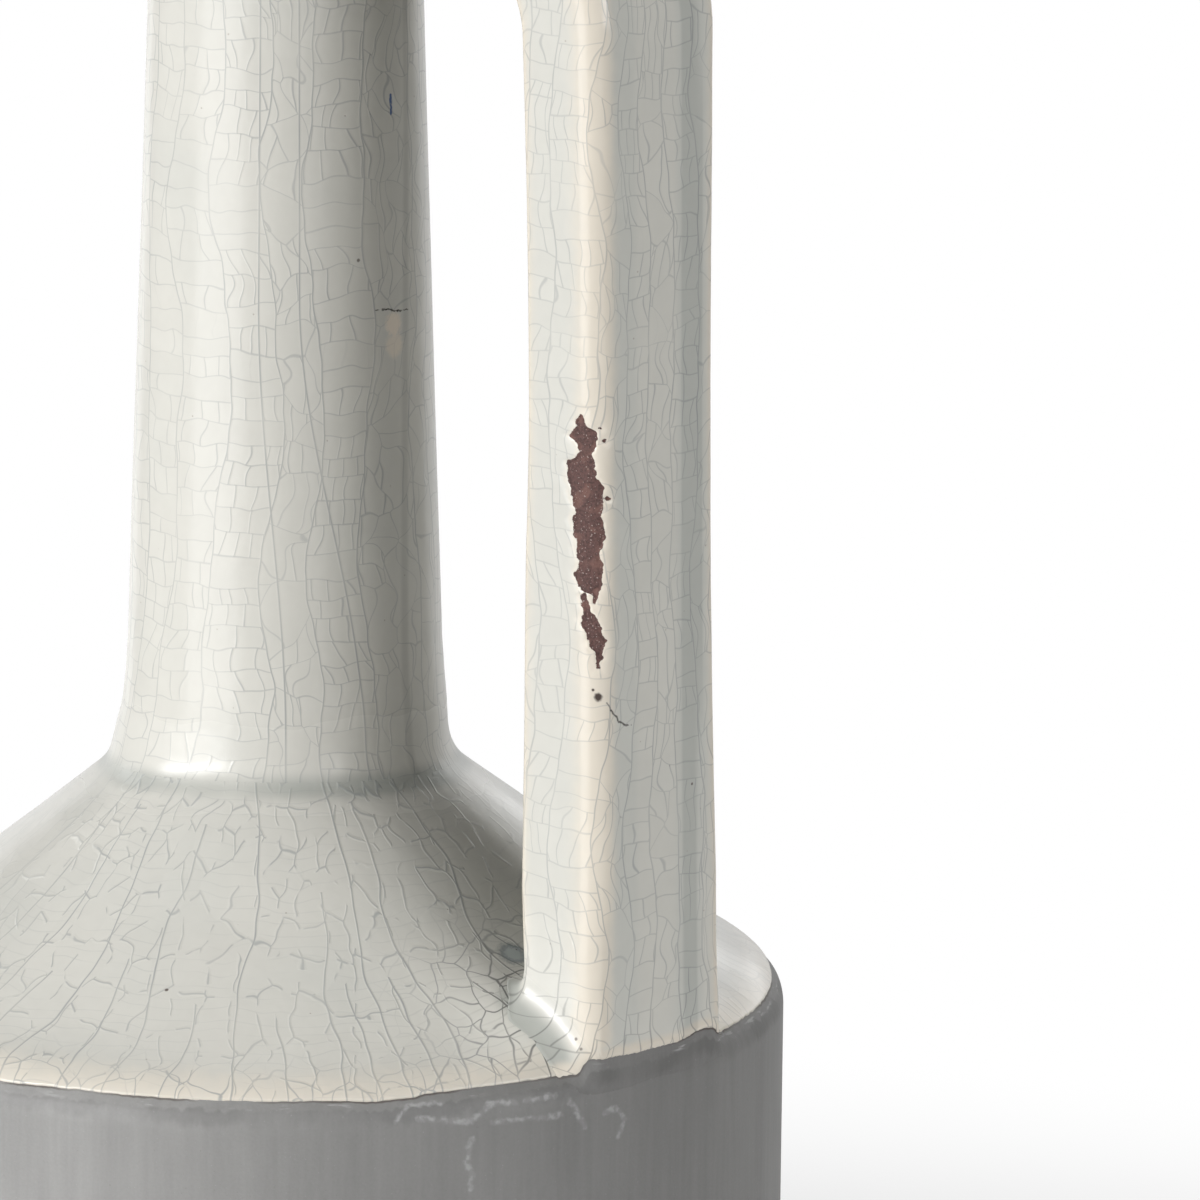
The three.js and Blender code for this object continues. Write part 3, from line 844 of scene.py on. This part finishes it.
class Finish:
    """A material, or the world, under construction. Its places are in millimetres."""

    def __init__(self, holder):
        self.holder = holder
        holder.use_nodes = True
        self.tree = holder.node_tree
        self.tree.nodes.clear()
        self.place = self.vector("MULTIPLY", self.node("ShaderNodeTexCoord", output="Object"), (1000.0,) * 3)

    def node(self, kind, settings=None, inputs=None, output=0):
        node = self.tree.nodes.new(kind)
        for key, value in (settings or {}).items():
            setattr(node, key, value)
        for key, value in (inputs or {}).items():
            if isinstance(value, Signal):
                self.tree.links.new(value.socket, node.inputs[key])
            elif value is not None:
                socket = node.inputs[key]
                if socket.type == "RGBA" and len(value) == 3:
                    value = (*value, 1.0)
                socket.default_value = value
        return None if output is None else Signal(self, node.outputs[output])

    def vector(self, operation, first, second=None, scale=None, output=0):
        inputs = {0: first, 1: second}
        if scale is not None:
            inputs["Scale"] = scale
        return self.node("ShaderNodeVectorMath", {"operation": operation}, inputs, output)

    def blend(self, base, over, share):
        return self.node("ShaderNodeMix", {"data_type": "RGBA"}, {0: share, 6: base, 7: over}, 2)

    def blend_places(self, base, over, share):
        return self.node("ShaderNodeMix", {"data_type": "VECTOR"}, {0: share, 4: base, 5: over}, 1)

    def parts(self, vector):
        node = self.node("ShaderNodeSeparateXYZ", inputs={0: vector}).socket.node
        return [Signal(self, socket) for socket in node.outputs]

    def join(self, x, y, z=0.0):
        return self.node("ShaderNodeCombineXYZ", inputs={0: x, 1: y, 2: z})

    def grain(self, place, size, detail=2.0, output=0):
        """Soft noise between 0 and 1 whose lumps are about this many millimetres."""
        return self.node(
            "ShaderNodeTexNoise", {"noise_dimensions": "3D"},
            {"Vector": place, "Scale": 1.0 / size, "Detail": detail}, output,
        )

    def stretched(self, place, factors, size, detail):
        """Soft noise that is drawn out where a factor is below 1."""
        return self.grain(self.vector("MULTIPLY", place, factors), size, detail)

    def sway(self, place, size, detail=1.0):
        """Soft noise as a direction."""
        return self.vector("SUBTRACT", self.grain(place, size, detail, 1), (0.5, 0.5, 0.5))

    def moved(self, place, sway, reach):
        return self.vector("ADD", place, self.vector("SCALE", sway, scale=reach))

    def cells(self, place, size, feature="DISTANCE_TO_EDGE", output=0, random=1.0, dimensions="2D"):
        key = "W" if dimensions == "1D" else "Vector"
        return self.node(
            "ShaderNodeTexVoronoi", {"voronoi_dimensions": dimensions, "feature": feature},
            {key: place, "Scale": 1.0 / size, "Randomness": random}, output,
        )

    def tag(self, place, size, random=1.0, dimensions="2D"):
        """A number between 0 and 1 for each cell."""
        colour = self.cells(place, size, "F1", 1, random, dimensions)
        return self.node("ShaderNodeSeparateColor", inputs={0: colour})

    def painted(self, name):
        settings = {"attribute_type": "GEOMETRY", "attribute_name": name}
        return self.node("ShaderNodeAttribute", settings, output="Fac")

    def stroke(self, place, start, end):
        """Distance in millimetres from a short straight mark."""
        start, end = Vector(start), Vector(end)
        run = end - start
        from_start = self.vector("SUBTRACT", place, tuple(start))
        share = self.vector("DOT_PRODUCT", from_start, tuple(run), output=1) / run.length_squared
        share = share.most(0.0).least(1.0)
        nearest = self.vector("SCALE", tuple(run), scale=share)
        return self.vector("DISTANCE", from_start, nearest, output=1)

    def fired(self, colour, roughness, height, distance, reflection=0.5):
        normal = self.node("ShaderNodeBump", inputs={"Strength": 1.0, "Distance": distance, "Height": height})
        shader = self.node(
            "ShaderNodeBsdfPrincipled",
            inputs={"Base Color": colour, "Roughness": roughness, "Normal": normal, "IOR": 1.5,
                    "Specular IOR Level": reflection},
        )
        return self.shown(shader)

    def cloth(self, tone):
        return self.node("ShaderNodeBsdfDiffuse", inputs={"Color": (tone, tone, tone)})

    def glow(self, tone):
        return self.node("ShaderNodeEmission", inputs={"Color": (tone, tone, tone), "Strength": 1.0})

    def mixed(self, base, over, share):
        return self.node("ShaderNodeMixShader", inputs={0: share, 1: base, 2: over})

    def seen_by(self, *rays):
        """1 for light that comes to the camera by one of these ways, and 0 for the rest."""
        path = self.node("ShaderNodeLightPath").socket.node
        seen = Signal(self, path.outputs[rays[0]])
        for ray in rays[1:]:
            seen = seen.most(Signal(self, path.outputs[ray]))
        return seen

    def shown(self, surface, output="ShaderNodeOutputMaterial"):
        self.node(output, inputs={"Surface": surface}, output=None)
        return self.holder


def new_finish(name):
    return Finish(bpy.data.materials.new(name))


def crazing(finish, around, along, flat, spread=1.0, column=9.6, ladders=0.45):
    """The crackle of the glaze. Long cracks rise first, and the later ones stop at them."""
    tall = 4.4
    drift = finish.grain(flat, 44.0, 1.0) - 0.5
    waver = finish.grain(flat, 9.0, 1.0) - 0.5
    wander = around + (drift * 15.0 + waver * 1.8) / spread
    pillar = finish.cells(wander, column, random=0.85, dimensions="1D") * column * spread
    tag = finish.tag(wander, column, 0.85, "1D")
    bend = finish.sway(flat, 13.0)
    jumped = finish.vector("ADD", finish.moved(flat, bend, 14.0), finish.join(tag * 631.0, tag * 377.0))
    plate = finish.cells(jumped, 6.8, random=0.95) * 6.8
    plate_tag = finish.tag(jumped, 6.8, 0.95)
    rung_place = (along + tag * 83.0 + waver * 4.0) / tall
    rung = finish.cells(rung_place, 1.0, random=0.8, dimensions="1D") * tall
    rung_tag = finish.tag(rung_place, 1.0, 0.8, "1D")
    laddered = tag.below(ladders)
    second = plate + (rung - plate) * laddered
    second_tag = plate_tag + (rung_tag - plate_tag) * laddered
    stub_size = column * 0.42
    sway = finish.parts(bend)[0] * 9.0 / spread
    stub_place = wander + second_tag * 57.0 + tag * 17.0 + sway
    stub = finish.cells(stub_place, stub_size, random=1.0, dimensions="1D") * stub_size * spread
    stub_shown = second_tag.rise(0.30, 0.36)
    width = 0.11 + 0.07 * finish.grain(flat, 6.0, 1.0)
    first_line = pillar.crack(width, 0.25, 1.5)
    stub_line = stub.crack(width) * stub_shown
    lines = (first_line * 0.72).most(second.crack(width) * 0.48).most(stub_line * 0.62)
    ridge = pillar.lip().most(stub.lip() * stub_shown)
    return lines, ridge, second_tag


def shoulder_crazing(finish, around, along, flat, radius, fine, stain):
    """The shoulder's crackle: long cracks run down it, more begin as it widens, and stubs lie between."""
    spread = radius / LAY_RADIUS
    drift = finish.grain(flat, 44.0, 1.0) - 0.5
    waver = finish.grain(flat, 10.0, 1.0) - 0.5
    wander = around + (drift * 17.0 + waver * 2.4) / spread
    column = 11.0
    outer = finish.cells(wander, column, random=0.8, dimensions="1D") * column * spread
    inner = finish.cells(wander, column, "F1", 0, 0.8, "1D") * column * spread
    tag = finish.tag(wander, column, 0.8, "1D")
    patch = finish.grain(flat, 15.0, 0.0)
    middle = inner + (radius - 36.0 - 26.0 * tag).rise(0.0, 0.2, 9.0, 0.0)
    between = abs(inner - outer) * 0.5 + (radius - 50.0 - 40.0 * patch).rise(0.0, 0.2, 9.0, 0.0)
    main = outer.least(middle).least(between)
    bend = finish.sway(flat, 7.0)
    bend_x, bend_y, _ = finish.parts(bend)
    climb = radius.logarithm(2.71828) * LAY_RADIUS
    stub_place = finish.join(around + bend_x * 5.5 / spread, climb * 0.66 + bend_y * 3.5 / spread)
    stub_size = 2.4
    stub = finish.cells(stub_place, stub_size, random=0.9) * stub_size * spread
    stub_tag = finish.tag(stub_place, stub_size, 0.9)
    gaps = finish.grain(flat, 4.2, 1.0).rise(0.44, 0.50)
    plate = finish.cells(finish.moved(flat, bend, 6.0), 6.2, random=0.9) * 6.2
    level = (along + tag * 83.0 + waver * 5.0) / 2.9
    rung = finish.cells(level, 1.0, random=0.6, dimensions="1D") * 2.9
    width = 0.12 + 0.075 * finish.grain(flat, 6.0, 1.0) + 0.07 * stain
    main_line = main.crack(width, 0.25, 1.5)
    stub_line = stub.crack(width, 0.15, 1.15) * gaps.most(fine * 0.3)
    plate_line = plate.crack(width) * fine
    rung_line = rung.crack(width) * finish.grain(flat, 11.0, 1.0).rise(0.3, 0.6)
    facing = abs(abs(around) - 46.0).rise(9.0, 24.0, 0.3, 1.0)
    lines = (main_line * 0.78).most(stub_line * 0.66).most(plate_line * 0.82).most(rung_line * 0.2)
    ridge = main.lip().most(stub.lip() * gaps)
    return lines * facing, ridge * facing, stub_tag


GLAZE = (0.630, 0.620, 0.572)
GLAZE_COOL = (0.525, 0.540, 0.508)
GLAZE_POOL = (0.385, 0.398, 0.368)
GLAZE_CREAM = (0.700, 0.640, 0.545)
CRACK = (0.270, 0.285, 0.295)
STAINED_CRACK = (0.090, 0.088, 0.085)
CLAY = (0.262, 0.259, 0.252)
CHIPPED_CLAY = (0.112, 0.055, 0.048)


# Pale scuffs on the bare clay below the glaze line, each as a line from place to place
SCUFFS = (
    ((79.6, -52.9, 161.5), (80.2, -50.1, 164.2), (83.2, -44.9, 164.1)),
    ((81.8, -49.2, 161.9), (86.6, -40.6, 160.4), (87.7, -36.4, 163.3), (89.7, -31.9, 162.8)),
    ((90.3, -29.9, 163.0), (92.0, -23.7, 163.1)),
    ((88.6, -36.6, 159.9), (92.9, -23.2, 159.4)),
    ((93.3, -21.0, 161.5), (94.1, -17.7, 156.2)),
    ((94.8, -13.1, 158.3), (95.1, -10.7, 158.6), (95.4, -8.2, 156.2), (95.2, -9.9, 153.3)),
    ((86.8, -40.3, 157.1), (86.4, -41.3, 152.8), (86.9, -40.0, 150.3), (86.7, -40.5, 147.9)),
)


def clay_surface(finish, beneath):
    """Colour and relief of the bare grey clay, with the streaks that wiping it down has left; painted lighter
    on the key light's side and darker on the other, as painted light and shade.
    """
    place = finish.place
    streaks = finish.stretched(place, (1.0, 1.0, 0.07), 1.6, 3.0)
    broad = finish.stretched(place, (1.0, 1.0, 0.07), 9.0, 2.0)
    cloud = finish.grain(place, 26.0, 3.0)
    speck = finish.grain(place, 0.55, 1.0)
    tone = 0.93 + (streaks - 0.5) * 0.22 + (broad - 0.5) * 0.3 + (cloud - 0.5) * 0.24 + (speck - 0.5) * 0.1
    ragged = finish.stretched(place, (1.0, 1.0, 0.35), 2.2, 3.0)
    patchy = finish.grain(place, 12.0, 1.0).rise(0.35, 0.6)
    band = (beneath - ragged * 3.0).rise(0.2, 0.9) * (beneath - ragged * 3.2).rise(2.0, 4.2, 1.0, 0.0)
    tone = tone * (1.0 - band * (0.07 + 0.15 * patchy))
    # The clay is painted lighter on the left, where the key light falls, and darker on the right: painted
    # light and shade.
    painted_light_across = finish.vector("DOT_PRODUCT", place, (cos(FRONT + pi / 2), sin(FRONT + pi / 2), 0.0), output=1)
    tone = tone * painted_light_across.rise(-90.0, 80.0, 1.20, 0.79)
    shaken = finish.moved(place, finish.sway(place, 1.6, 2.0), 1.6)
    scuffs = None
    for start, end in [pair for places in SCUFFS for pair in zip(places, places[1:])]:
        away = finish.stroke(shaken, start, end)
        scuffs = away if scuffs is None else scuffs.least(away)
    broken = finish.grain(place, 1.5, 3.0).rise(0.38, 0.62, 0.25, 1.0)
    scuff = scuffs.rise(0.1, 0.85, 1.0, 0.0) * broken
    pale = finish.grain(place, 0.42, 1.0).rise(0.73, 0.8)
    dark = finish.grain(finish.vector("ADD", place, (40, 7, 3)), 0.5, 1.0).rise(0.74, 0.82)
    colour = finish.vector("SCALE", CLAY, scale=tone)
    colour = finish.blend(colour, (0.16, 0.157, 0.15), dark * 0.5)
    colour = finish.blend(colour, (0.44, 0.44, 0.44), pale * 0.25)
    colour = finish.blend(colour, (0.42, 0.42, 0.42), scuff * 0.62)
    rubbed = finish.stretched(place, (0.35, 0.35, 2.2), 1.5, 3.0).rise(0.52, 0.66)
    rubbed = rubbed * abs(beneath - 1.3).rise(0.3, 0.9, 1.0, 0.0)
    rubbed = rubbed * finish.grain(place, 9.0, 0.0).rise(0.45, 0.6)
    colour = finish.blend(colour, (0.46, 0.46, 0.455), rubbed * 0.55)
    seam = abs(beneath - 0.15 + (ragged - 0.5) * 0.5).rise(0.1, 0.38, 1.0, 0.0)
    seam = seam * finish.grain(place, 16.0, 0.0).rise(0.35, 0.55)
    colour = finish.blend(colour, (0.085, 0.068, 0.058), seam * 0.8)
    height = streaks * 0.35 + speck * 0.3 + scuff * 0.3
    return colour, height


def bare_stoneware():
    finish = new_finish("bare_stoneware")
    colour, height = clay_surface(finish, finish.painted("beneath"))
    return finish.fired(colour, 0.6, height, 0.00012, 0.7)


def glaze_colour(finish, lines, second_tag, thin, pool, cool_and_shade, stain):
    """The crackled glaze: greyer where it lies thick, cream where it is thin, dark in the cracks."""
    place = finish.place
    cloud = finish.grain(place, 30.0, 2.0)
    mottle = finish.grain(place, 3.0, 3.0)
    plate_tone = 0.985 + 0.03 * second_tag
    # The strap's cool bands are painted in here, and the one on its far facet is painted shade.
    colour = finish.blend(GLAZE, GLAZE_COOL, (cloud.rise(0.4, 0.8) * 0.35).most(cool_and_shade * 0.75))
    colour = finish.blend(colour, GLAZE_POOL, pool.rise(0.1, 0.95) * 0.85)
    edge = (thin + (mottle - 0.5) * 0.3).rise(0.1, 0.9)
    colour = finish.blend(colour, GLAZE_CREAM, edge * 0.9)
    colour = finish.vector("SCALE", colour, scale=plate_tone * (0.97 + 0.06 * mottle))
    fleck = finish.cells(place, 5.0, "F1", 0, 1.0, "3D")
    fleck_tag = finish.tag(place, 5.0, 1.0, "3D")
    fleck = (fleck * 5.0).rise(0.1, 0.24, 1.0, 0.0) * fleck_tag.rise(0.6, 0.62)
    colour = finish.blend(colour, (0.30, 0.24, 0.20), fleck * 0.5)
    shown = finish.grain(place, 14.0, 1.0).rise(0.25, 0.7, 0.5, 0.85)
    stained = finish.blend(CRACK, STAINED_CRACK, stain)
    colour = finish.blend(colour, stained, lines * shown.most(stain * 1.15).least(1.0))
    return colour, fleck


def blemishes(finish, colour, spots, scratches):
    """Small marks at known places: round spots, and short scratches."""
    rough_edge = (finish.grain(finish.place, 0.6, 1.0) - 0.5) * 0.5
    for centre, reach, tint, strength in spots:
        away = finish.vector("DISTANCE", finish.place, centre, output=1) / reach + rough_edge
        colour = finish.blend(colour, tint, away.rise(0.55, 1.2, strength, 0.0))
    shaken = finish.moved(finish.place, finish.sway(finish.place, 1.2), 0.9)
    for start, end, reach, tint, strength in scratches:
        away = finish.stroke(shaken, start, end) / reach
        colour = finish.blend(colour, tint, away.rise(0.5, 1.4, strength, 0.0))
    return colour


def glaze_relief(finish, ridge, fleck, tall):
    """Raised lips along the cracks, and the gentle orange peel and runs of a thick glaze."""
    place = finish.place
    peel = finish.grain(place, 5.0, 2.0)
    runs = finish.stretched(place, (1.0, 1.0, 0.1), 6.0, 1.0)
    return peel * 0.30 + runs * 0.5 + ridge * tall - fleck * 0.2


SPECK = (0.10, 0.075, 0.065)
NECK_SPOTS = (
    ((28.1, 0.4, 294.6), 2.4, (0.86, 0.75, 0.63), 0.7),
    ((28.2, 0.6, 290.6), 2.6, (0.84, 0.74, 0.62), 0.6),
    ((26.3, -7.6, 307.3), 0.4, SPECK, 0.8),
    ((31.1, -62.7, 179.0), 0.4, SPECK, 0.9),
    ((66.6, -7.6, 181.8), 3.2, (0.15, 0.18, 0.19), 0.85),
    ((66.6, -7.6, 181.8), 2.2, (0.46, 0.49, 0.48), 0.8),
)
NECK_SCRATCHES = (
    ((27.3, -4.66, 297.8), (27.64, -1.6, 297.5), 0.17, (0.05, 0.045, 0.04), 0.8),
    ((27.64, -1.6, 297.5), (27.64, 1.6, 296.9), 0.19, (0.05, 0.045, 0.04), 0.85),
    ((27.64, 1.6, 296.9), (27.3, 4.7, 296.6), 0.17, (0.05, 0.045, 0.04), 0.8),
    ((26.43, 0.75, 333.9), (26.33, 0.75, 337.4), 0.3, (0.03, 0.09, 0.26), 0.85),
    ((67.0, -5.0, 184.0), (64.5, -8.5, 179.0), 0.12, SPECK, 0.8),
)
STRAP_SPOTS = (
    ((95.2, -13.4, 191.7), 0.5, (0.10, 0.11, 0.12), 0.9),
    ((90.7, -16.8, 172.0), 0.4, SPECK, 0.8),
    ((92.0, -16.8, 170.4), 0.45, SPECK, 0.8),
    ((93.6, -16.6, 168.3), 0.5, SPECK, 0.7),
    ((94.5, 10.2, 216.0), 0.3, SPECK, 0.8),
    ((92.95, -14.03, 236.0), 0.85, (0.045, 0.030, 0.028), 0.95),
    ((92.2, -14.65, 237.3), 0.32, (0.06, 0.04, 0.035), 0.9),
)
STRAP_SCRATCHES = (
    ((95.6, 10.9, 171.6), (95.6, 13.0, 171.8), 0.35, (0.28, 0.22, 0.19), 0.8),
    ((93.93, -12.7, 234.8), (94.22, -12.0, 233.4), 0.2, (0.16, 0.155, 0.15), 0.75),
    ((94.22, -12.0, 233.4), (94.45, -10.1, 231.2), 0.24, (0.07, 0.065, 0.06), 0.85),
    ((94.45, -10.1, 231.2), (94.45, -8.6, 230.3), 0.22, (0.07, 0.065, 0.06), 0.85),
    ((94.45, -8.6, 230.3), (94.45, -6.7, 230.0), 0.2, (0.09, 0.085, 0.08), 0.8),
)


def crown_glaze():
    """The glaze of shoulder, neck and mouth; on the neck a pair of long cracks faces the strap."""
    finish = new_finish("crackle_glaze")
    around, along, _ = finish.parts(finish.node("ShaderNodeUVMap", {"uv_map": "lay"}))
    x, y, z = finish.parts(finish.place)
    radius = finish.vector("LENGTH", finish.join(x, y), output=1)
    spread = radius / LAY_RADIUS
    on_neck = along.rise(-1.0, -0.99)
    thin = finish.painted("thin")
    stain = finish.painted("stain")
    flat = finish.blend_places(finish.join(x, y), finish.join(around, along + 300.0), on_neck)
    lines, ridge, second_tag = crazing(finish, around, along, flat, spread)
    fine = (thin * 1.6 + (stain * 2.6).least(1.0)).least(1.0)
    lower_lines, lower_ridge, lower_tag = shoulder_crazing(finish, around, along, flat, radius, fine, stain)
    lines = lower_lines + (lines - lower_lines) * on_neck
    ridge = lower_ridge + (ridge - lower_ridge) * on_neck
    second_tag = lower_tag + (second_tag - lower_tag) * on_neck
    left_of_pair = abs(around + 4.1 - along.rise(10.0, 92.0, 5.4, 0.0))
    pair = left_of_pair.least(abs(around - 3.9 - along.rise(8.0, 92.0, 12.0, 0.0)))
    lines = lines.most((pair / 0.17).rise(0.2, 1.5, 0.75, 0.0) * on_neck)
    ridge = ridge.most(pair.lip() * on_neck)
    # Cracks are painted fainter along the band where the key light's highlight lies on the neck: painted
    # highlight.
    lines = lines * (1.0 - abs(around + 20.0).rise(3.0, 15.0, 0.35, 0.0) * on_neck)
    colour, fleck = glaze_colour(finish, lines, second_tag, thin, finish.painted("pool"), 0.0, stain)
    # A dark line is painted down the neck's right side: a painted reflection.
    painted_dark_reflection = abs(around - along.rise(5.0, 175.0, 25.8, 31.4)).rise(0.3, 1.6, 0.16, 0.0) * on_neck
    # The upper shoulder, which faces up, is painted 5% darker than the neck and the shoulder's lower edge:
    # painted shade.
    tone = z.rise(166.0, 190.0, 1.0, 0.95) + along.rise(-5.0, 6.0, 0.0, 0.05) - painted_dark_reflection
    colour = finish.vector("SCALE", colour, scale=tone)
    colour = blemishes(finish, colour, NECK_SPOTS, NECK_SCRATCHES)
    height = glaze_relief(finish, ridge, fleck, 0.26 - 0.14 * on_neck)
    collar = abs(along - 1.0).rise(4.0, 17.0, 0.09, 0.0)
    roughness = 0.19 + 0.06 * finish.grain(finish.place, 12.0, 1.0) + collar
    return finish.fired(colour, roughness, height, 0.00020)


def strap_glaze():
    """The glaze of the strap, with the torn clay of its chips and the bare clay of its foot."""
    finish = new_finish("strap_crackle_glaze")
    around, along, _ = finish.parts(finish.node("ShaderNodeUVMap", {"uv_map": "lay"}))
    chip = finish.painted("chip")
    bare = finish.painted("bare")
    lines, ridge, second_tag = crazing(
        finish, around + 40.0, along, finish.join(around, along), column=6.6, ladders=0.6
    )
    lines = lines * around.rise(-4.0, 3.0, 0.74, 1.0)
    thin, pool, cool_and_shade, stain = [finish.painted(name) for name in ("thin", "pool", "cool_and_shade", "stain")]
    colour, fleck = glaze_colour(finish, lines, second_tag, thin, pool, cool_and_shade, stain)
    # The far facet is painted darker still: painted shade.
    colour = finish.vector("SCALE", colour, scale=cool_and_shade.rise(0.7, 1.0, 1.0, 0.86))
    colour = blemishes(finish, colour, STRAP_SPOTS, STRAP_SCRATCHES)
    height = glaze_relief(finish, ridge, fleck, 0.12)
    knobbly = finish.grain(finish.place, 0.7, 2.0) - 0.5
    torn = (chip + knobbly * 0.5).rise(0.02, 0.12)
    rim = (chip + knobbly * 0.4).rise(-1.0, -0.1)
    colour = finish.blend(colour, (0.80, 0.73, 0.63), rim * 0.4)
    grit = finish.grain(finish.place, 0.45, 3.0)
    lump = finish.grain(finish.place, 3.5, 2.0)
    chipped = finish.blend(CHIPPED_CLAY, (0.070, 0.036, 0.032), grit.rise(0.4, 0.65))
    chipped = finish.blend(chipped, (0.190, 0.095, 0.076), lump.rise(0.48, 0.66) * 0.65)
    crumb = finish.grain(finish.place, 0.34, 0.0).rise(0.70, 0.79)
    chipped = finish.blend(chipped, (0.42, 0.34, 0.31), crumb * 0.7)
    colour = finish.blend(colour, chipped, torn)
    clay, clay_height = clay_surface(finish, bare.most(0.0))
    uncoated = (bare + (finish.grain(finish.place, 0.8, 2.0) - 0.5) * 0.5).rise(-0.05, 0.08)
    colour = finish.blend(colour, clay, uncoated)
    rough = torn.most(uncoated)
    height = height * (1.0 - rough) + (grit * 1.6 * torn) + clay_height * 0.6 * uncoated
    roughness = 0.20 + rough * 0.55 + 0.08 * stain.rise(0.3, 0.9)
    return finish.fired(colour, roughness, height, 0.00020)


def studio():
    """White surroundings, which light the vase only faintly."""
    finish = Finish(bpy.data.worlds.new("studio"))
    seen = finish.seen_by("Is Camera Ray", "Is Glossy Ray", "Is Transmission Ray")
    strength = seen * (1.0 - AMBIENT) + AMBIENT
    white = finish.node("ShaderNodeBackground", inputs={"Color": (1.0, 1.0, 1.0), "Strength": strength})
    bpy.context.scene.world = finish.shown(white, "ShaderNodeOutputWorld")


def softbox(name, side, lift, wide, tall, brightness):
    """A soft light as wide and tall as it looks from the vase, in degrees."""
    light = bpy.data.lights.new(name, "AREA")
    light.shape = "RECTANGLE"
    light.size = 2 * LIGHT_DISTANCE * tan(radians(wide / 2))
    light.size_y = 2 * LIGHT_DISTANCE * tan(radians(tall / 2))
    light.energy = brightness * pi * light.size * light.size_y
    lamp = bpy.data.objects.new(name, light)
    bpy.context.scene.collection.objects.link(lamp)
    angle, rise = FRONT + radians(side), radians(lift)
    away = Vector((cos(angle) * cos(rise), sin(angle) * cos(rise), sin(rise)))
    turn = away.to_track_quat("Z", "Y").to_matrix().to_4x4()
    lamp.matrix_world = Matrix.Translation(LIGHT_AIM + away * LIGHT_DISTANCE) @ turn


def staged(name, bm, material):
    prop = set_down(name, bm, material)
    return prop


def hung_cloth(bm, start, end, top, drop, steps):
    """Cloth hung round the vase from one side to another, in degrees round from the camera."""
    angle = FRONT + radians(start)
    edge = Vector((cos(angle) * DRAPE_RADIUS, sin(angle) * DRAPE_RADIUS, top))
    verts = [bm.verts.new(edge), bm.verts.new(edge - Vector((0, 0, drop)))]
    spun(bm, verts + [bm.edges.new(verts)], radians(end - start), steps)


def skirt():
    """Grey cloth below the table at the back, which only the glaze's reflections show.
    It fades to white at its top, so that no edge of it shows in the glaze."""
    finish = new_finish("grey_cloth")
    _, _, z = finish.parts(finish.place)
    surface = finish.mixed(finish.glow(SKIRT_TONE), finish.glow(1.0), z.rise(-230.0, 110.0))
    bm = bmesh.new()
    hung_cloth(bm, DRAPE_TO - 10.0, DRAPE_TO + 50.0, SKIRT_TOP, 3.0, 24)
    cloth = staged("skirt", bm, finish.shown(surface))
    cloth.visible_camera = False
    cloth.visible_diffuse = False


def drape():
    """Dark ceiling, and dark cloth round the camera's side, which only the glaze's reflections show."""
    finish = new_finish("dark_cloth")
    bm = bmesh.new()
    bmesh.ops.create_circle(bm, cap_ends=True, segments=48, radius=DRAPE_RADIUS)
    bmesh.ops.translate(bm, verts=bm.verts, vec=(0, 0, DRAPE_TOP))
    hung_cloth(bm, DRAPE_FROM, DRAPE_TO, DRAPE_TOP, 4.2, 48)
    hung_cloth(bm, DRAPE_TO, DRAPE_FROM + 360.0, DRAPE_TOP, DRAPE_TOP - BACK_GAP, 48)
    cloth = staged("drape", bm, finish.shown(finish.cloth(DRAPE_TONE)))
    cloth.visible_camera = False


def floor():
    """A pale floor that fades to plain white away from the vase, and keeps its shadow near it."""
    finish = new_finish("pale_floor")
    x, y, _ = finish.parts(finish.place)
    away = finish.vector("LENGTH", finish.join(x, y), output=1)
    share = away.rise(190.0, 560.0) * finish.seen_by("Is Camera Ray", "Is Glossy Ray")
    surface = finish.mixed(finish.cloth(FLOOR_TONE), finish.glow(1.0), share)
    bm = bmesh.new()
    bmesh.ops.create_circle(bm, cap_ends=True, segments=96, radius=FLOOR_RADIUS)
    staged("floor", bm, finish.shown(surface))


def camera():
    """The photograph's view: low and close, with a long lens."""
    right = Vector((cos(VIEW_SIDE), sin(VIEW_SIDE), 0))
    ahead = cos(VIEW_TILT)
    forward = Vector((-sin(VIEW_SIDE) * ahead, cos(VIEW_SIDE) * ahead, -sin(VIEW_TILT)))
    up = right.cross(forward)
    level = right * cos(VIEW_ROLL) + up * sin(VIEW_ROLL)
    upright = up * cos(VIEW_ROLL) - right * sin(VIEW_ROLL)
    target = right * AIM_ACROSS + Vector((0, 0, AIM_HEIGHT))
    lens = bpy.data.cameras.new("camera")
    lens.sensor_width = SENSOR
    lens.lens = VIEW_DISTANCE / POINT_SIZE * SENSOR / PICTURE_WIDTH
    lens.clip_start = 0.05
    lens.clip_end = 40.0
    view = bpy.data.objects.new("camera", lens)
    bpy.context.scene.collection.objects.link(view)
    turn = Matrix((level, upright, -forward)).transposed().to_4x4()
    view.matrix_world = Matrix.Translation((target - forward * VIEW_DISTANCE) * MM) @ turn
    bpy.context.scene.camera = view


bpy.context.scene.view_settings.view_transform = "Standard"
camera()
studio()
for name, settings in SOFTBOXES.items():
    softbox(name, *settings)
drape()
skirt()
floor()
glazed_crown(crown_glaze())
grey_body(bare_stoneware())
strap_handle(strap_glaze())
